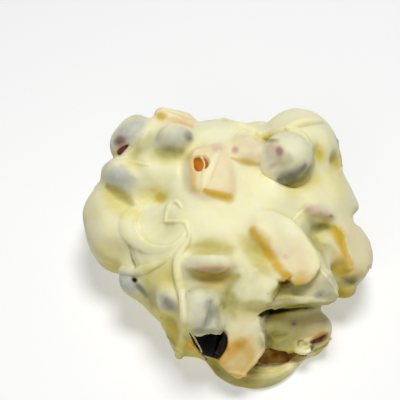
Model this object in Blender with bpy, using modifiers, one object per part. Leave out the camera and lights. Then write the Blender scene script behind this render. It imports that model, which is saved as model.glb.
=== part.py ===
"""A cluster of white chocolate and dried fruit, spooned out and left to set.

The chocolate is one solid: a heap of big lumps, with the fruit that it covers all over and its
thick folds and drips standing out of it. Each fruit that is bare somewhere is a solid of its own,
and lies in a pocket. Metres, +Z up. The origin is on the flat underside, below the middle of the
heap, and the side with the bare fruit faces -Y.
"""

import math
from collections import namedtuple

import bmesh
import bpy
from mathutils import Matrix, Vector, noise
from mathutils.bvhtree import BVHTree

Lump = namedtuple("Lump", "middle radii turn")
Fruit = namedtuple("Fruit", "pixel size angle rise taper", defaults=(0,))
Slab = namedtuple("Slab", "pixel corners thickness facing rise")
Fold = namedtuple("Fold", "pixels radii")
Hidden = namedtuple("Hidden", "bearing height size angle rise taper", defaults=(0,))

MM = 0.001

# The heap is looked at from the front and above, along +Y. Fruit is placed by its pixel there.
VIEW_DOWN = math.radians(47)
VIEW_DISTANCE = 240 * MM
PIXEL = 0.2375 * MM  # what a pixel spans at the point looked at
MIDDLE_PIXEL = Vector((200, 200))
LOOKED_AT = Vector((-6.4, 2, 30)) * MM
VIEW_UP = Vector((0, math.sin(VIEW_DOWN), math.cos(VIEW_DOWN)))
VIEW_RIGHT = Vector((1, 0, 0))

CLEARANCE = 0.3 * MM  # between a bare fruit and its pocket
FRUIT_FLOOR = 1.3 * MM  # no fruit reaches lower
HEAP_VOXEL = 1.1 * MM
HEAP_SMOOTHINGS = 7
DETAIL_VOXEL = 0.7 * MM
DETAIL_SMOOTHINGS = 3
HEAP_TRIANGLES = 7600
GROUND_SIZE = 120 * MM
SIGHT_STEPS = 200
WELD = 0.01 * MM
SINK = 0.2  # how deep a fold lies, as a share of its radius
ROUND_WRINKLE = 0.14
WORN_EDGE = 0.7 * MM

CHOCOLATE = (0.87, 0.83, 0.55, 1)
RAISIN = (0.05, 0.012, 0.02, 1)
CRANBERRY = (0.25, 0.03, 0.03, 1)
BERRY = (0.30, 0.16, 0.17, 1)
PAPAYA = (0.78, 0.38, 0.08, 1)
DARK_PAPAYA = (0.35, 0.14, 0.03, 1)
CHOCOLATE_ROUGHNESS = 0.45
FRUIT_ROUGHNESS = 0.4

# The big lumps: middle and radii in mm, and turn about Z in degrees.
HEAP = {
    "core": Lump((-0.5, 2, 13), (25.2, 27, 18), 0),
    "back_middle": Lump((-1, 19, 18), (17, 17, 16.5), 0),
    "back_left": Lump((-15, 21.5, 20), (12.5, 15, 14), 0),
    "back_right": Lump((18.5, 22.5, 22), (11.5, 14, 14.5), 0),
    "side_right": Lump((22, 11, 15.5), (11.5, 15, 13), 0),
    "flap": Lump((-26.5, 10, 14), (9.4, 15, 12), 0),
    "front_wall": Lump((-5.5, -14.5, 11), (8.5, 11, 11), -20),
    "nose": Lump((4, -15.3, 18.5), (9, 8.5, 8.5), 0),
    "brow_right": Lump((16, -7, 16), (11, 11, 9.5), 0),
    "right_lobe": Lump((27.5, 1, 11), (9.5, 10, 9), 0),
    "low_block": Lump((15.5, -15, 4), (8.5, 7, 6), 0),
    "foot": Lump((6, -18, 1), (15, 14, 3.5), 0),
    "flap_foot": Lump((-23, 13, 4), (9, 10, 6), 0),
    "right_foot": Lump((23, 8, 4), (9.5, 11, 6), 0),
    "back_foot": Lump((0, 24, 4), (22, 9, 6), 0),
    "left_foot": Lump((-9, -18.5, 3), (5.5, 5.5, 5), 0),
    "skirt": Lump((3, 5, 4), (22, 27, 9), 0),
}

# The hollow under the overhanging corner: middle and radii in mm.
OVERHANG = {
    "under_corner": Lump((17.5, -20.5, 15.2), (8.8, 4.5, 2.5), 0),
    "under_corner_left": Lump((10.5, -20, 15.2), (4, 3.5, 1.2), 0),
}

# What is scooped out of the heap: size in mm, turn in degrees, and rise of its middle in mm.
HOLLOWS = {
    "dish": Fruit((158, 224), (12, 12, 4), 0, 0.6),
    "trough": Fruit((210, 248), (12, 6, 4), 0, 0.6),
    "lips_shadow": Fruit((214, 280), (12, 4, 4), 0, 0.4),
    "lobe_recess": Fruit((324, 243), (11, 7, 8), -58, 1),
    "berry_crevice": Fruit((318, 156), (8, 2.5, 4), 80, 0),
    "fold_crevice": Fruit((270, 142), (5, 3, 4), 0, 0),
    "middle_crevice": Fruit((158, 198), (7, 5, 3), 0, 0.4),
    "low_inside": Fruit((277, 357), (14, 4, 6), 8, 0),
    "low_chink": Fruit((318, 341), (6, 2, 4), 35, 0),
}

# Fruit that the chocolate covers all over: size in mm, turn of its length in the view in degrees,
# and how far its middle lies above the heap in mm.
COATED = {
    "raisin_left": Fruit((119, 175), (10.5, 7.5, 8), -38, 0.3),
    "berry_middle": Fruit((175, 139), (9.5, 8, 9), 25, 0.2),
    "lips": Fruit((212, 265), (13, 5.5, 5), 0, 0.2),
    "corner_tip": Fruit((327, 284), (9, 6, 6), -55, 0.4),
    "side_raisin": Fruit((131, 281), (10, 6.5, 6), -40, 0),
    "side_raisin_low": Fruit((168, 301), (8, 6.5, 6), -60, 0),
    "right_berry": Fruit((321, 213), (9, 5, 5), -18, 0.2),
    "low_corner": Fruit((345, 286), (5, 4, 5), 20, 0),
    "low_rim": Fruit((316, 348), (9, 3.5, 4), 40, 0.5),
    "chip": Fruit((304, 347), (3.6, 3, 5), 0, 0.5),
}

# Cut fruit that the chocolate covers all over.
COATED_CUT = {
    "corner": Slab(
        pixel=(303, 290),
        corners=(
            (-9.5, -2.4), (-6.6, -2.2), (5.2, -2.6), (8.3, -1.7), (8.8, 0), (6.4, 3.6),
            (4, 5.2), (-3.1, 3), (-7.8, 0),
        ),
        thickness=2.6,
        facing=(0.1, -0.25, 0.96),
        rise=1.6,
    ),
    "low_piece": Slab(
        pixel=(294, 332),
        corners=(
            (-8.5, 3.8), (-5.7, 4.5), (3, 5), (6.6, 4.5), (8.5, 1.6), (8.7, -1.9), (5.7, -3.3),
            (1.4, -2.1), (-2, -4.3), (-6.2, -4.3), (-7.6, -1.9),
        ),
        thickness=9,
        facing=(0.05, -0.65, 0.75),
        rise=1.6,
    ),
}

# Thick folds and drips: the pixels they run through, and their radius in mm at each.
FOLDS = {
    "dish_rim": Fold(
        ((128, 205), (122, 220), (124, 235), (140, 244), (162, 246), (180, 239), (187, 226)),
        (0.6, 1.3, 1.5, 1.4, 1.3, 1.1, 0.7),
    ),
    "front_fold": Fold(
        ((188, 232), (180, 247), (170, 257), (152, 267), (136, 271), (119, 267)),
        (0.7, 1.1, 1.2, 1.2, 1.1, 0.7),
    ),
    "drip": Fold(
        ((180, 262), (180, 280), (181, 300), (184, 318), (184, 336), (180, 349), (178, 356)),
        (0.9, 1.0, 1.0, 1.1, 1.2, 1.3, 1.0),
    ),
    "back_fold": Fold(
        ((226, 124), (246, 128), (262, 136), (274, 135), (286, 128), (304, 121), (320, 123)),
        (0.8, 1.2, 1.5, 1.5, 1.6, 1.8, 1.0),
    ),
    "side_fold": Fold(((290, 130), (303, 134), (312, 145), (315, 160)), (1.0, 1.3, 1.3, 0.8)),
    "lip": Fold(((262, 312), (276, 309), (292, 305), (310, 304), (328, 302)), (0.8, 1.0, 1.1, 1.2, 1.2)),
    "foot_rim": Fold(((246, 372), (262, 375), (280, 373), (293, 365)), (0.6, 0.9, 0.9, 0.6)),
}

# Bare fruit of a rounded form.
ROUND_FRUIT = {
    "raisin_front": Fruit((205, 323), (18, 8.6, 8), -86, 0.6, -0.22),
    "cranberry_left": Fruit((131, 138), (12.5, 7.5, 7), 48, 0.6),
    "berry_right": Fruit((289, 158), (12.5, 11, 10), -40, 1.2),
}

# Bare fruit cut in blocks and slices: corners in mm across and up the view.
CUT_FRUIT = {
    "papaya_top": Slab(
        pixel=(212, 170),
        corners=((-4.7, -3.8), (-1.4, -5.7), (4.8, -5.4), (4, 2.9), (2.1, 6.3), (-4.7, 5.2)),
        thickness=7,
        facing=(0.05, -0.2, 0.98),
        rise=2.8,
    ),
    "papaya_pink": Slab(
        pixel=(246, 147),
        corners=((-2.4, -2.4), (2.8, -2.6), (3.1, 0.5), (1.9, 3.1), (-2.8, 2.4)),
        thickness=5,
        facing=(0, -0.15, 0.99),
        rise=1.8,
    ),
    "papaya_front": Slab(
        pixel=(241, 345),
        corners=(
            (-5.2, -2.6), (-2.9, -5.5), (-1.2, -8.1), (3.1, -4.5), (5.6, 0), (4.8, 2.9),
            (3.8, 6.7), (-3.8, 7.1), (-4.5, 2.4),
        ),
        thickness=4.4,
        facing=(0.05, -0.97, 0.22),
        rise=5.6,
    ),
    "papaya_right": Slab(
        pixel=(354, 248),
        corners=(
            (-2.1, -0.5), (-0.5, -5.5), (4.4, -4.8), (4.8, -1), (2.9, 2.4), (-1.7, 6.9), (-3.8, 5.2),
        ),
        thickness=6,
        facing=(0.62, -0.3, 0.72),
        rise=1.4,
    ),
    "slice_back": Slab(
        pixel=(175, 118),
        corners=(
            (-3.6, -1.2), (0.7, -1.5), (4.3, -2.1), (5.2, -0.3), (3.6, 1.2), (0.2, 1.4),
            (-2.8, 2.5), (-5.2, 1.4),
        ),
        thickness=3,
        facing=(0.1, -0.7, 0.7),
        rise=1.6,
    ),
    "papaya_low": Slab(
        pixel=(280, 357),
        corners=((-6.5, -2.4), (1.6, -1.7), (9.6, 4.2), (9, 5.4), (0.5, 2.2), (-6, 1.4)),
        thickness=5,
        facing=(0.1, -0.8, 0.6),
        rise=0.4,
    ),
}

# The curved strip: its left and right edges in the view, and how far they stand proud in mm.
STRIP_LEFT = ((255, 219), (256, 229), (264, 241), (272, 253), (280, 265), (287, 274), (293, 284))
STRIP_RIGHT = ((284, 211), (294, 222), (302, 235), (310, 246), (317, 256), (320, 265), (309, 281))
STRIP_MIDDLE = (286, 247)
STRIP_PROUD_LEFT = 2.4
STRIP_PROUD_RIGHT = 1.2
STRIP_THICKNESS = 2.8
STRIP_COLUMNS = 4

# Fruit on the far side: bearing about Z from +X in degrees, and height in mm.
HIDDEN_COATED = {
    "back_berry": Hidden(75, 21, (11, 9, 9), 20, 0.2),
    "back_raisin": Hidden(128, 17, (13, 8, 7), 60, 0.3),
    "back_low_berry": Hidden(100, 8, (10, 8, 8), 0, 0),
    "left_low_berry": Hidden(152, 9, (9, 8, 8), 0, -0.6),
    "right_low_raisin": Hidden(30, 8, (12, 7, 7), -20, 0.2),
}
HIDDEN_ROUND = {
    "raisin_back": Hidden(52, 14, (15, 8.4, 8), 70, 0.8),
    "cranberry_back": Hidden(104, 18, (11, 8, 7), -30, 0.8),
}


# A bare fruit, and the neighbour that it stops at.
CUT_BACK = {"papaya_front": "raisin_front", "papaya_low": "papaya_front"}

FRUIT_COLOURS = {
    "raisin_front": RAISIN,
    "raisin_back": RAISIN,
    "cranberry_left": CRANBERRY,
    "cranberry_back": CRANBERRY,
    "berry_right": BERRY,
    "papaya_top": PAPAYA,
    "papaya_pink": PAPAYA,
    "papaya_front": PAPAYA,
    "papaya_right": PAPAYA,
    "slice_back": PAPAYA,
    "strip_right": PAPAYA,
    "papaya_low": DARK_PAPAYA,
}


def sight(pixel):
    """The eye, and the way it looks at a pixel of the view."""
    ahead = VIEW_RIGHT.cross(VIEW_UP) * -1
    eye = LOOKED_AT - ahead * VIEW_DISTANCE
    across = (pixel[0] - MIDDLE_PIXEL.x) * PIXEL
    over = (MIDDLE_PIXEL.y - pixel[1]) * PIXEL
    target = LOOKED_AT + VIEW_RIGHT * across + VIEW_UP * over
    return eye, (target - eye).normalized()


def facing_turn(normal, angle):
    """The turn that points Z along the normal, and X at the given angle from the view's right."""
    along = VIEW_RIGHT * math.cos(math.radians(angle)) + VIEW_UP * math.sin(math.radians(angle))
    across = normal.cross(along).normalized()
    return Matrix((across.cross(normal), across, normal)).transposed()


def clear_scene():
    for obj in list(bpy.data.objects):
        bpy.data.objects.remove(obj)


def new_collection(name):
    collection = bpy.data.collections.new(name)
    bpy.context.scene.collection.children.link(collection)
    return collection


def new_object(name, mesh, collection):
    obj = bpy.data.objects.new(name, mesh)
    collection.objects.link(obj)
    return obj


def place(obj, middle, turn):
    obj.location = middle
    obj.rotation_euler = turn.to_euler()
    return obj


def mesh_from(work, name):
    mesh = bpy.data.meshes.new(name)
    work.to_mesh(mesh)
    work.free()
    return mesh


def apply_modifiers(obj):
    """Leaves the object with its finished mesh and no modifiers."""
    depsgraph = bpy.context.evaluated_depsgraph_get()
    finished = bpy.data.meshes.new_from_object(obj.evaluated_get(depsgraph))
    obj.modifiers.clear()
    obj.data = finished


def surface_of(obj):
    work = bmesh.new()
    work.from_mesh(obj.data)
    tree = BVHTree.FromBMesh(work)
    work.free()
    return tree


def seat(tree, pixel):
    """The point of the heap that is seen at a pixel, and the outward direction there.

    Just past the heap's outline, it is the point of the sight line that passes nearest to it.
    """
    eye, look = sight(pixel)
    spot, normal, _, _ = tree.ray_cast(eye, look)
    if spot is None:
        reach = (LOOKED_AT - eye).length
        line = [eye + look * reach * step / SIGHT_STEPS for step in range(2 * SIGHT_STEPS)]
        spot = min(line, key=lambda point: tree.find_nearest(point)[3])
        normal = tree.find_nearest(spot)[1]
    return spot, normal


def far_seat(tree, hidden):
    """The point of the heap met from outside at a bearing and a height."""
    bearing = math.radians(hidden.bearing)
    outward = Vector((math.cos(bearing), math.sin(bearing), 0))
    start = outward * GROUND_SIZE + Vector((0, 0, hidden.height * MM))
    spot, normal, _, _ = tree.ray_cast(start, -outward)
    return spot, normal


def ellipsoid(name, middle, radii, turn, collection, rounds=4, wrinkle=0, taper=0):
    """A round lump, longest along its own X, which a taper makes thinner at one end."""
    work = bmesh.new()
    bmesh.ops.create_icosphere(work, subdivisions=rounds, radius=1)
    for vert in work.verts:
        vert.co *= 1 + wrinkle * noise.noise(vert.co * 2.2 + Vector((len(name), 0, 0)))
        vert.co.yz *= 1 + taper * vert.co.x
    bmesh.ops.transform(work, matrix=Matrix.Diagonal((*radii, 1)), verts=work.verts)
    bmesh.ops.recalc_face_normals(work, faces=work.faces)
    return place(new_object(name, mesh_from(work, name), collection), middle, turn)


def add_lumps(lumps, collection):
    for name, lump in lumps.items():
        turn = Matrix.Rotation(math.radians(lump.turn), 3, "Z")
        ellipsoid(name, Vector(lump.middle) * MM, Vector(lump.radii) * MM, turn, collection)


def add_fruit(name, fruit, seated, collection, rounds=3, wrinkle=0):
    spot, normal = seated
    middle = spot + normal * fruit.rise * MM
    radii = Vector(fruit.size) * MM / 2
    turn = facing_turn(normal, fruit.angle)
    return ellipsoid(name, middle, radii, turn, collection, rounds, wrinkle, fruit.taper)


def add_slab(name, slab, tree, collection):
    """A cut block whose face shows the given corners to the eye."""
    spot, _ = seat(tree, slab.pixel)
    _, look = sight(slab.pixel)
    facing = Vector(slab.facing).normalized()
    turn = facing_turn(facing, 0)
    work = bmesh.new()
    corners = []
    for across, over in slab.corners:
        seen = (VIEW_RIGHT * across + VIEW_UP * over) * MM
        on_face = seen - look * seen.dot(facing) / look.dot(facing)
        corners.append(work.verts.new(turn.transposed() @ on_face))
    face = work.faces.new(corners)
    grown = bmesh.ops.extrude_face_region(work, geom=[face])
    back = [part for part in grown["geom"] if isinstance(part, bmesh.types.BMVert)]
    bmesh.ops.translate(work, vec=(0, 0, -slab.thickness * MM), verts=back)
    bmesh.ops.recalc_face_normals(work, faces=work.faces)
    bmesh.ops.bevel(
        work,
        geom=list(work.edges),
        offset=WORN_EDGE,
        segments=2,
        profile=0.5,
        affect="EDGES",
    )
    bmesh.ops.triangulate(work, faces=work.faces)
    middle = spot - look * slab.rise * MM
    return place(new_object(name, mesh_from(work, name), collection), middle, turn)


def add_strip(name, tree, collection):
    """The curved strip, laid over the heap with its left edge proud."""
    rows = len(STRIP_LEFT)
    middle, _ = seat(tree, STRIP_MIDDLE)
    work = bmesh.new()
    grid = []
    for left, right in zip(STRIP_LEFT, STRIP_RIGHT):
        line = []
        for column in range(STRIP_COLUMNS):
            share = column / (STRIP_COLUMNS - 1)
            pixel = Vector(left).lerp(Vector(right), share)
            proud = STRIP_PROUD_LEFT + (STRIP_PROUD_RIGHT - STRIP_PROUD_LEFT) * share
            spot, _ = seat(tree, pixel)
            _, look = sight(pixel)
            line.append(work.verts.new(spot - look * proud * MM - middle))
        grid.append(line)
    for row in range(rows - 1):
        for column in range(STRIP_COLUMNS - 1):
            near, far = grid[row + 1], grid[row]
            work.faces.new((far[column], near[column], near[column + 1], far[column + 1]))
    for _ in range(2):
        bmesh.ops.smooth_vert(
            work, verts=work.verts, factor=0.3, use_axis_x=False, use_axis_y=True, use_axis_z=True
        )
    strip = new_object(name, mesh_from(work, name), collection)
    strip.location = middle
    solidify = strip.modifiers.new("thickness", "SOLIDIFY")
    solidify.thickness = STRIP_THICKNESS * MM
    solidify.offset = -1
    bevel = strip.modifiers.new("worn_edges", "BEVEL")
    bevel.width = WORN_EDGE
    bevel.segments = 2
    bevel.limit_method = "ANGLE"
    apply_modifiers(strip)
    return strip


def smooth_line(points, steps):
    """The points with others between them on a curve through them all."""
    line = []
    for i in range(len(points) - 1):
        before = points[max(i - 1, 0)]
        start, end = points[i], points[i + 1]
        after = points[min(i + 2, len(points) - 1)]
        for step in range(steps):
            t = step / steps
            line.append(
                0.5
                * (
                    2 * start
                    + (end - before) * t
                    + (2 * before - 5 * start + 4 * end - after) * t**2
                    + (3 * start - before - 3 * end + after) * t**3
                )
            )
    line.append(points[-1])
    return line


def add_fold(name, fold, tree, collection):
    """A rounded ridge that lies half sunk along the heap."""
    stations = [Vector((*pixel, radius)) for pixel, radius in zip(fold.pixels, fold.radii)]
    line = smooth_line(stations, 4)
    curve = bpy.data.curves.new(name, "CURVE")
    curve.dimensions = "3D"
    curve.bevel_depth = MM
    curve.bevel_resolution = 2
    curve.use_fill_caps = True
    spline = curve.splines.new("POLY")
    spline.points.add(len(line) - 1)
    for point, station in zip(spline.points, line):
        spot, normal = seat(tree, station.to_2d())
        point.co = (*(spot - normal * station.z * SINK * MM), 1)
        point.radius = station.z
    tube = new_object(name, curve, collection)
    depsgraph = bpy.context.evaluated_depsgraph_get()
    mesh = bpy.data.meshes.new_from_object(tube.evaluated_get(depsgraph))
    bpy.data.objects.remove(tube)
    work = bmesh.new()
    work.from_mesh(mesh)
    bmesh.ops.remove_doubles(work, verts=work.verts, dist=WELD)
    bmesh.ops.recalc_face_normals(work, faces=work.faces)
    return new_object(name, mesh_from(work, name), collection)


def boolean(target, collection, operation):
    modifier = target.modifiers.new(operation.lower(), "BOOLEAN")
    modifier.operation = operation
    modifier.operand_type = "COLLECTION"
    modifier.collection = collection
    modifier.solver = "MANIFOLD"


def pour(target, voxel, smoothings):
    """Rounds the joins, as thick chocolate does."""
    remesh = target.modifiers.new("even", "REMESH")
    remesh.mode = "VOXEL"
    remesh.voxel_size = voxel
    smooth = target.modifiers.new("poured", "SMOOTH")
    smooth.iterations = smoothings


def empty(collection):
    for obj in list(collection.objects):
        bpy.data.objects.remove(obj)


def grown_copy(fruit, collection):
    """The fruit's form with the clearance all round it."""
    work = bmesh.new()
    work.from_mesh(fruit.data)
    work.normal_update()
    for vert, outward in [(vert, vert.normal.copy()) for vert in work.verts]:
        vert.co += outward * CLEARANCE
    pocket = new_object(fruit.name + "_pocket", mesh_from(work, fruit.name), collection)
    return place(pocket, fruit.location, fruit.rotation_euler.to_matrix())


def add_ground(collection, height):
    """The block of space below a height."""
    middle = (0, 0, height - GROUND_SIZE / 2)
    bpy.ops.mesh.primitive_cube_add(size=GROUND_SIZE, location=middle)
    ground = bpy.context.object
    ground.name = "ground"
    for old in list(ground.users_collection):
        old.objects.unlink(ground)
    collection.objects.link(ground)


def lowest(obj):
    turn = obj.rotation_euler.to_matrix()
    return min((turn @ vert.co + obj.location).z for vert in obj.data.vertices)


def triangle_count(obj):
    obj.data.calc_loop_triangles()
    return len(obj.data.loop_triangles)


def colour(obj, value, roughness):
    material = bpy.data.materials.new(obj.name)
    material.use_nodes = True
    shader = material.node_tree.nodes["Principled BSDF"]
    shader.inputs["Base Color"].default_value = value
    shader.inputs["Roughness"].default_value = roughness
    obj.data.materials.clear()
    obj.data.materials.append(material)


def build_chocolate(lumps, hollows, finished):
    """The heap, then its hollows, covered fruit and folds; gives back the plain heap's surface."""
    add_lumps(HEAP, lumps)
    chocolate = lumps.objects["core"]
    lumps.objects.unlink(chocolate)
    finished.objects.link(chocolate)
    chocolate.name = "white_chocolate"
    chocolate.data.transform(Matrix.Translation(chocolate.location))
    chocolate.location = (0, 0, 0)
    boolean(chocolate, lumps, "UNION")
    pour(chocolate, HEAP_VOXEL, HEAP_SMOOTHINGS)
    apply_modifiers(chocolate)
    empty(lumps)

    tree = surface_of(chocolate)
    for name, fruit in COATED.items():
        add_fruit(name, fruit, seat(tree, fruit.pixel), lumps)
    for name, slab in COATED_CUT.items():
        add_slab(name, slab, tree, lumps)
    for name, hidden in HIDDEN_COATED.items():
        add_fruit(name, hidden, far_seat(tree, hidden), lumps)
    for name, fold in FOLDS.items():
        add_fold(name, fold, tree, lumps)
    for name, fruit in HOLLOWS.items():
        add_fruit(name, fruit, seat(tree, fruit.pixel), hollows)
    add_lumps(OVERHANG, hollows)
    boolean(chocolate, hollows, "DIFFERENCE")
    boolean(chocolate, lumps, "UNION")
    pour(chocolate, DETAIL_VOXEL, DETAIL_SMOOTHINGS)
    apply_modifiers(chocolate)
    empty(lumps)
    empty(hollows)
    return chocolate, tree


def build_fruit(tree, hollows, bare):
    """The bare fruit, none lower than the fruit floor, and none cutting into another."""
    for name, fruit in ROUND_FRUIT.items():
        add_fruit(name, fruit, seat(tree, fruit.pixel), bare, wrinkle=ROUND_WRINKLE)
    for name, hidden in HIDDEN_ROUND.items():
        add_fruit(name, hidden, far_seat(tree, hidden), bare, wrinkle=ROUND_WRINKLE)
    for name, slab in CUT_FRUIT.items():
        add_slab(name, slab, tree, bare)
    add_strip("strip_right", tree, bare)
    for name, neighbour in CUT_BACK.items():
        grown_copy(bare.objects[neighbour], hollows)
        cut(bare.objects[name], hollows)
    for fruit in bare.objects:
        if lowest(fruit) < FRUIT_FLOOR:
            add_ground(hollows, FRUIT_FLOOR)
            cut(fruit, hollows)


def cut(obj, hollows):
    boolean(obj, hollows, "DIFFERENCE")
    apply_modifiers(obj)
    empty(hollows)


def main():
    clear_scene()
    lumps = new_collection("lumps")
    hollows = new_collection("hollows")
    finished = new_collection("fruit_cluster")
    chocolate, tree = build_chocolate(lumps, hollows, finished)
    bare = new_collection("bare_fruit")
    build_fruit(tree, hollows, bare)
    for fruit in bare.objects:
        grown_copy(fruit, hollows)
    add_ground(hollows, 0)
    reduce = chocolate.modifiers.new("fewer_faces", "DECIMATE")
    reduce.ratio = HEAP_TRIANGLES / triangle_count(chocolate)
    cut(chocolate, hollows)
    colour(chocolate, CHOCOLATE, CHOCOLATE_ROUGHNESS)
    for fruit in list(bare.objects):
        bare.objects.unlink(fruit)
        finished.objects.link(fruit)
        colour(fruit, FRUIT_COLOURS[fruit.name], FRUIT_ROUGHNESS)


main()
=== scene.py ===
"""Looks for a cluster of white chocolate and dried fruit, spooned out and left to set.

The coat is one piece: the frame's chocolate with a thin film over each fruit, its threads and
folds drawn sharp, and openings where the fruit is bare. Each fruit is a piece of its own below it.
Features are placed by the pixel at which the camera sees them, on the surface that carries them,
or on the far side by their bearing round the cluster and their height.
"""

import math
from collections import namedtuple

import bmesh
import bpy
import numpy as np
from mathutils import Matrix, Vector, noise
from mathutils.bvhtree import BVHTree
from mathutils.kdtree import KDTree


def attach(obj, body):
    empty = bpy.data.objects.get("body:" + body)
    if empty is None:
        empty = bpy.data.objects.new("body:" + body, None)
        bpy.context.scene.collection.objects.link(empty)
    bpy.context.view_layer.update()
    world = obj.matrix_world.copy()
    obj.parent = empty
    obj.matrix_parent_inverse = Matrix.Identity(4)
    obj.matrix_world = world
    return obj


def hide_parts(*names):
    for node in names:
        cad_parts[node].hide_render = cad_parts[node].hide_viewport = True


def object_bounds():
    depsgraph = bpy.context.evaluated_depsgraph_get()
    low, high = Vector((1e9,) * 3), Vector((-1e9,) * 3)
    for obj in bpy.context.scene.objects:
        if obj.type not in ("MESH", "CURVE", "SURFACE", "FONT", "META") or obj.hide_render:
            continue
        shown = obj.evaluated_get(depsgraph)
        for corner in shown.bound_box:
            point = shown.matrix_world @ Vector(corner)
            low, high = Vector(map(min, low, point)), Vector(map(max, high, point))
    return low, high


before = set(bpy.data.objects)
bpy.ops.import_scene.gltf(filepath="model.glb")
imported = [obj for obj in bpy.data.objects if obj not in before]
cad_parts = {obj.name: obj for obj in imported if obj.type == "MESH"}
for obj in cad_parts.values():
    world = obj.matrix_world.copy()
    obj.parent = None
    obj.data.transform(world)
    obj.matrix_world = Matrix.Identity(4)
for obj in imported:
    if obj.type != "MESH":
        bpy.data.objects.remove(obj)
CAD_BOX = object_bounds()

Plate = namedtuple("Plate", "spot thickness rise facing outline")
Oval = namedtuple("Oval", "spot size amount angle", defaults=(1.0, 0))
Line = namedtuple("Line", "amount stations far")
Bare = namedtuple("Bare", "fruit outline strands")
Fruit = namedtuple("Fruit", "kind tint strength")
At = namedtuple("At", "bearing height")


def line(amount, *stations):
    """A line in the view: the pixel and the half width in mm at each station."""
    return Line(amount, stations, False)


def far_line(amount, *stations):
    """A line on the far side: the bearing, the height and the half width in mm at each station."""
    return Line(amount, stations, True)


MM = 0.001

# The camera, and what a pixel spans at the point that it looks at.
VIEW_DOWN = math.radians(47)
VIEW_DISTANCE = 240 * MM
PIXEL = 0.2375 * MM
FRAME_PIXELS = 400
MIDDLE_PIXEL = Vector((200, 200))
LOOKED_AT = Vector((-6.4, 2, 30)) * MM
VIEW_UP = Vector((0, math.sin(VIEW_DOWN), math.cos(VIEW_DOWN)))
VIEW_RIGHT = Vector((1, 0, 0))
TO_EYE = VIEW_RIGHT.cross(VIEW_UP)
SENSOR = 36
SIGHT_STEPS = 200  # tried over the view distance where a sight line misses the surface
SIGHT_SLACK = 1.0 * MM  # how deep under the seen surface a point still counts as seen

# The coat's surface. Rounds are rounds of smoothing.
HEAP_VOXEL = 0.6 * MM
HEAP_ROUNDS = 16
HEAP_PULLS = (0.5, -0.53)  # in and out by turns, so that the heap keeps its size
FILLET_ROUNDS = 14
COAT_VOXEL = 0.45 * MM
COAT_ROUNDS = 6
SOFTENING_ROUNDS = 40
FINE_ROUNDS = 2
RELIEF_ROUNDS = 12  # on the ways that the relief moves the points
LINE_ROUNDS = 3  # and on those of the lines
PLATE_BEVEL = 0.5 * MM
WAVE_HEIGHT = 0.22 * MM
WAVE_SCALE = 150  # per metre
WAVE_SHAPE = (1.0, 2.0, 3)  # how fast finer waves weaken, how much finer each is, and how many
CLEARANCE = 0.3 * MM  # between a fruit and its pocket in the frame
FILLING = 0.4 * MM  # what closes the pockets
FILM = 0.35 * MM  # the coat's thickness over a fruit
LEAST_FILM = 0.18 * MM
BARE_DEPTH = 1.2 * MM  # how far the coat draws back from a bare fruit
BARE_SOFTNESS = 0.4 * MM
BARE_REACH = (1.6 * MM, 2.4 * MM)  # the coat opens fully, and not at all, this far from the fruit
FRUIT_VOXEL = 0.35 * MM
ROUND_FRUIT_ROUNDS = 6
CUT_FRUIT_ROUNDS = 2
FINER_SHARE = 1.3  # the faces are finer this near a line, as a share of its half width
FINER_RIM = 1.2 * MM  # and this near the edge of an opening
FAR_SHARE = 9.0  # more than any share of a half width that matters
LINE_REACH = 3  # in half widths, past which a line does nothing
LINE_STEPS = 4  # from one station of a line to the next
RING_STEPS = 3  # and from one corner of an outline to the next
RIDGE_POWER = 0.8  # the lower, the flatter a ridge is on top
LEDGE_POWER = 1.5  # the higher, the sooner a ledge falls off
LEDGE_FOOT = 0.7  # how deep a ledge sinks on its low side, as a share of its height
LAST_PULL = (0.3,)  # of the smoothing after the lines are drawn

# The coat's own colours and its painted shade colour, put where a point sees little sky; how the tints
# fade and break up, and how much sky each point sees.
COAT_PALE = (0.88, 0.86, 0.59)
COAT_WARM = (0.86, 0.81, 0.50)
COAT_PAINTED_SHADE = (0.54, 0.47, 0.09)
THIN_FILM = 0.4 * MM
THICK_FILM = 2.0 * MM
OVAL_DEPTH = 4 * MM
FADE_END = 1.4  # as a share of the half size
OVAL_FADE_START = 0.4
LINE_FADE_START = 0.1
WOBBLE_SCALE = 260  # per metre
WOBBLE = 0.3
FILM_BREAKS = 0.5  # how much weaker a film's tint is where the wobble is highest
SHELTER_SEED = 3
SHELTER_STRIDE = 7
SHELTER_RAYS = 20
SHELTER_REACH = 15 * MM
SHELTER_START = 0.2 * MM
SHELTER_LEAN = 1.05  # how far the rays lean outward
SHELTER_NEIGHBOURS = 4
SHELTER_ROUNDS = 4

# Each fruit's kind, and the tint that it gives the film on it, with its strength.
FRUITS = {
    "raisin_front": Fruit("raisin", "grey", 0.3),
    "raisin_back": Fruit("raisin", "grey", 0.75),
    "cranberry_left": Fruit("cranberry", "grey", 0.3),
    "cranberry_back": Fruit("cranberry", "grey", 0.6),
    "berry_right": Fruit("coated_berry", "grey", 0.35),
    "papaya_top": Fruit("papaya", "peach", 0.65),
    "papaya_pink": Fruit("papaya", "peach", 0.75),
    "papaya_front": Fruit("papaya", "peach", 0.3),
    "papaya_right": Fruit("papaya", "peach", 0.4),
    "slice_back": Fruit("papaya", "peach", 0.5),
    "strip_right": Fruit("papaya", "peach", 0.2),
    "papaya_low": Fruit("dark_papaya", "peach", 0),
}
CUT_KINDS = ("papaya", "dark_papaya")

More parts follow.
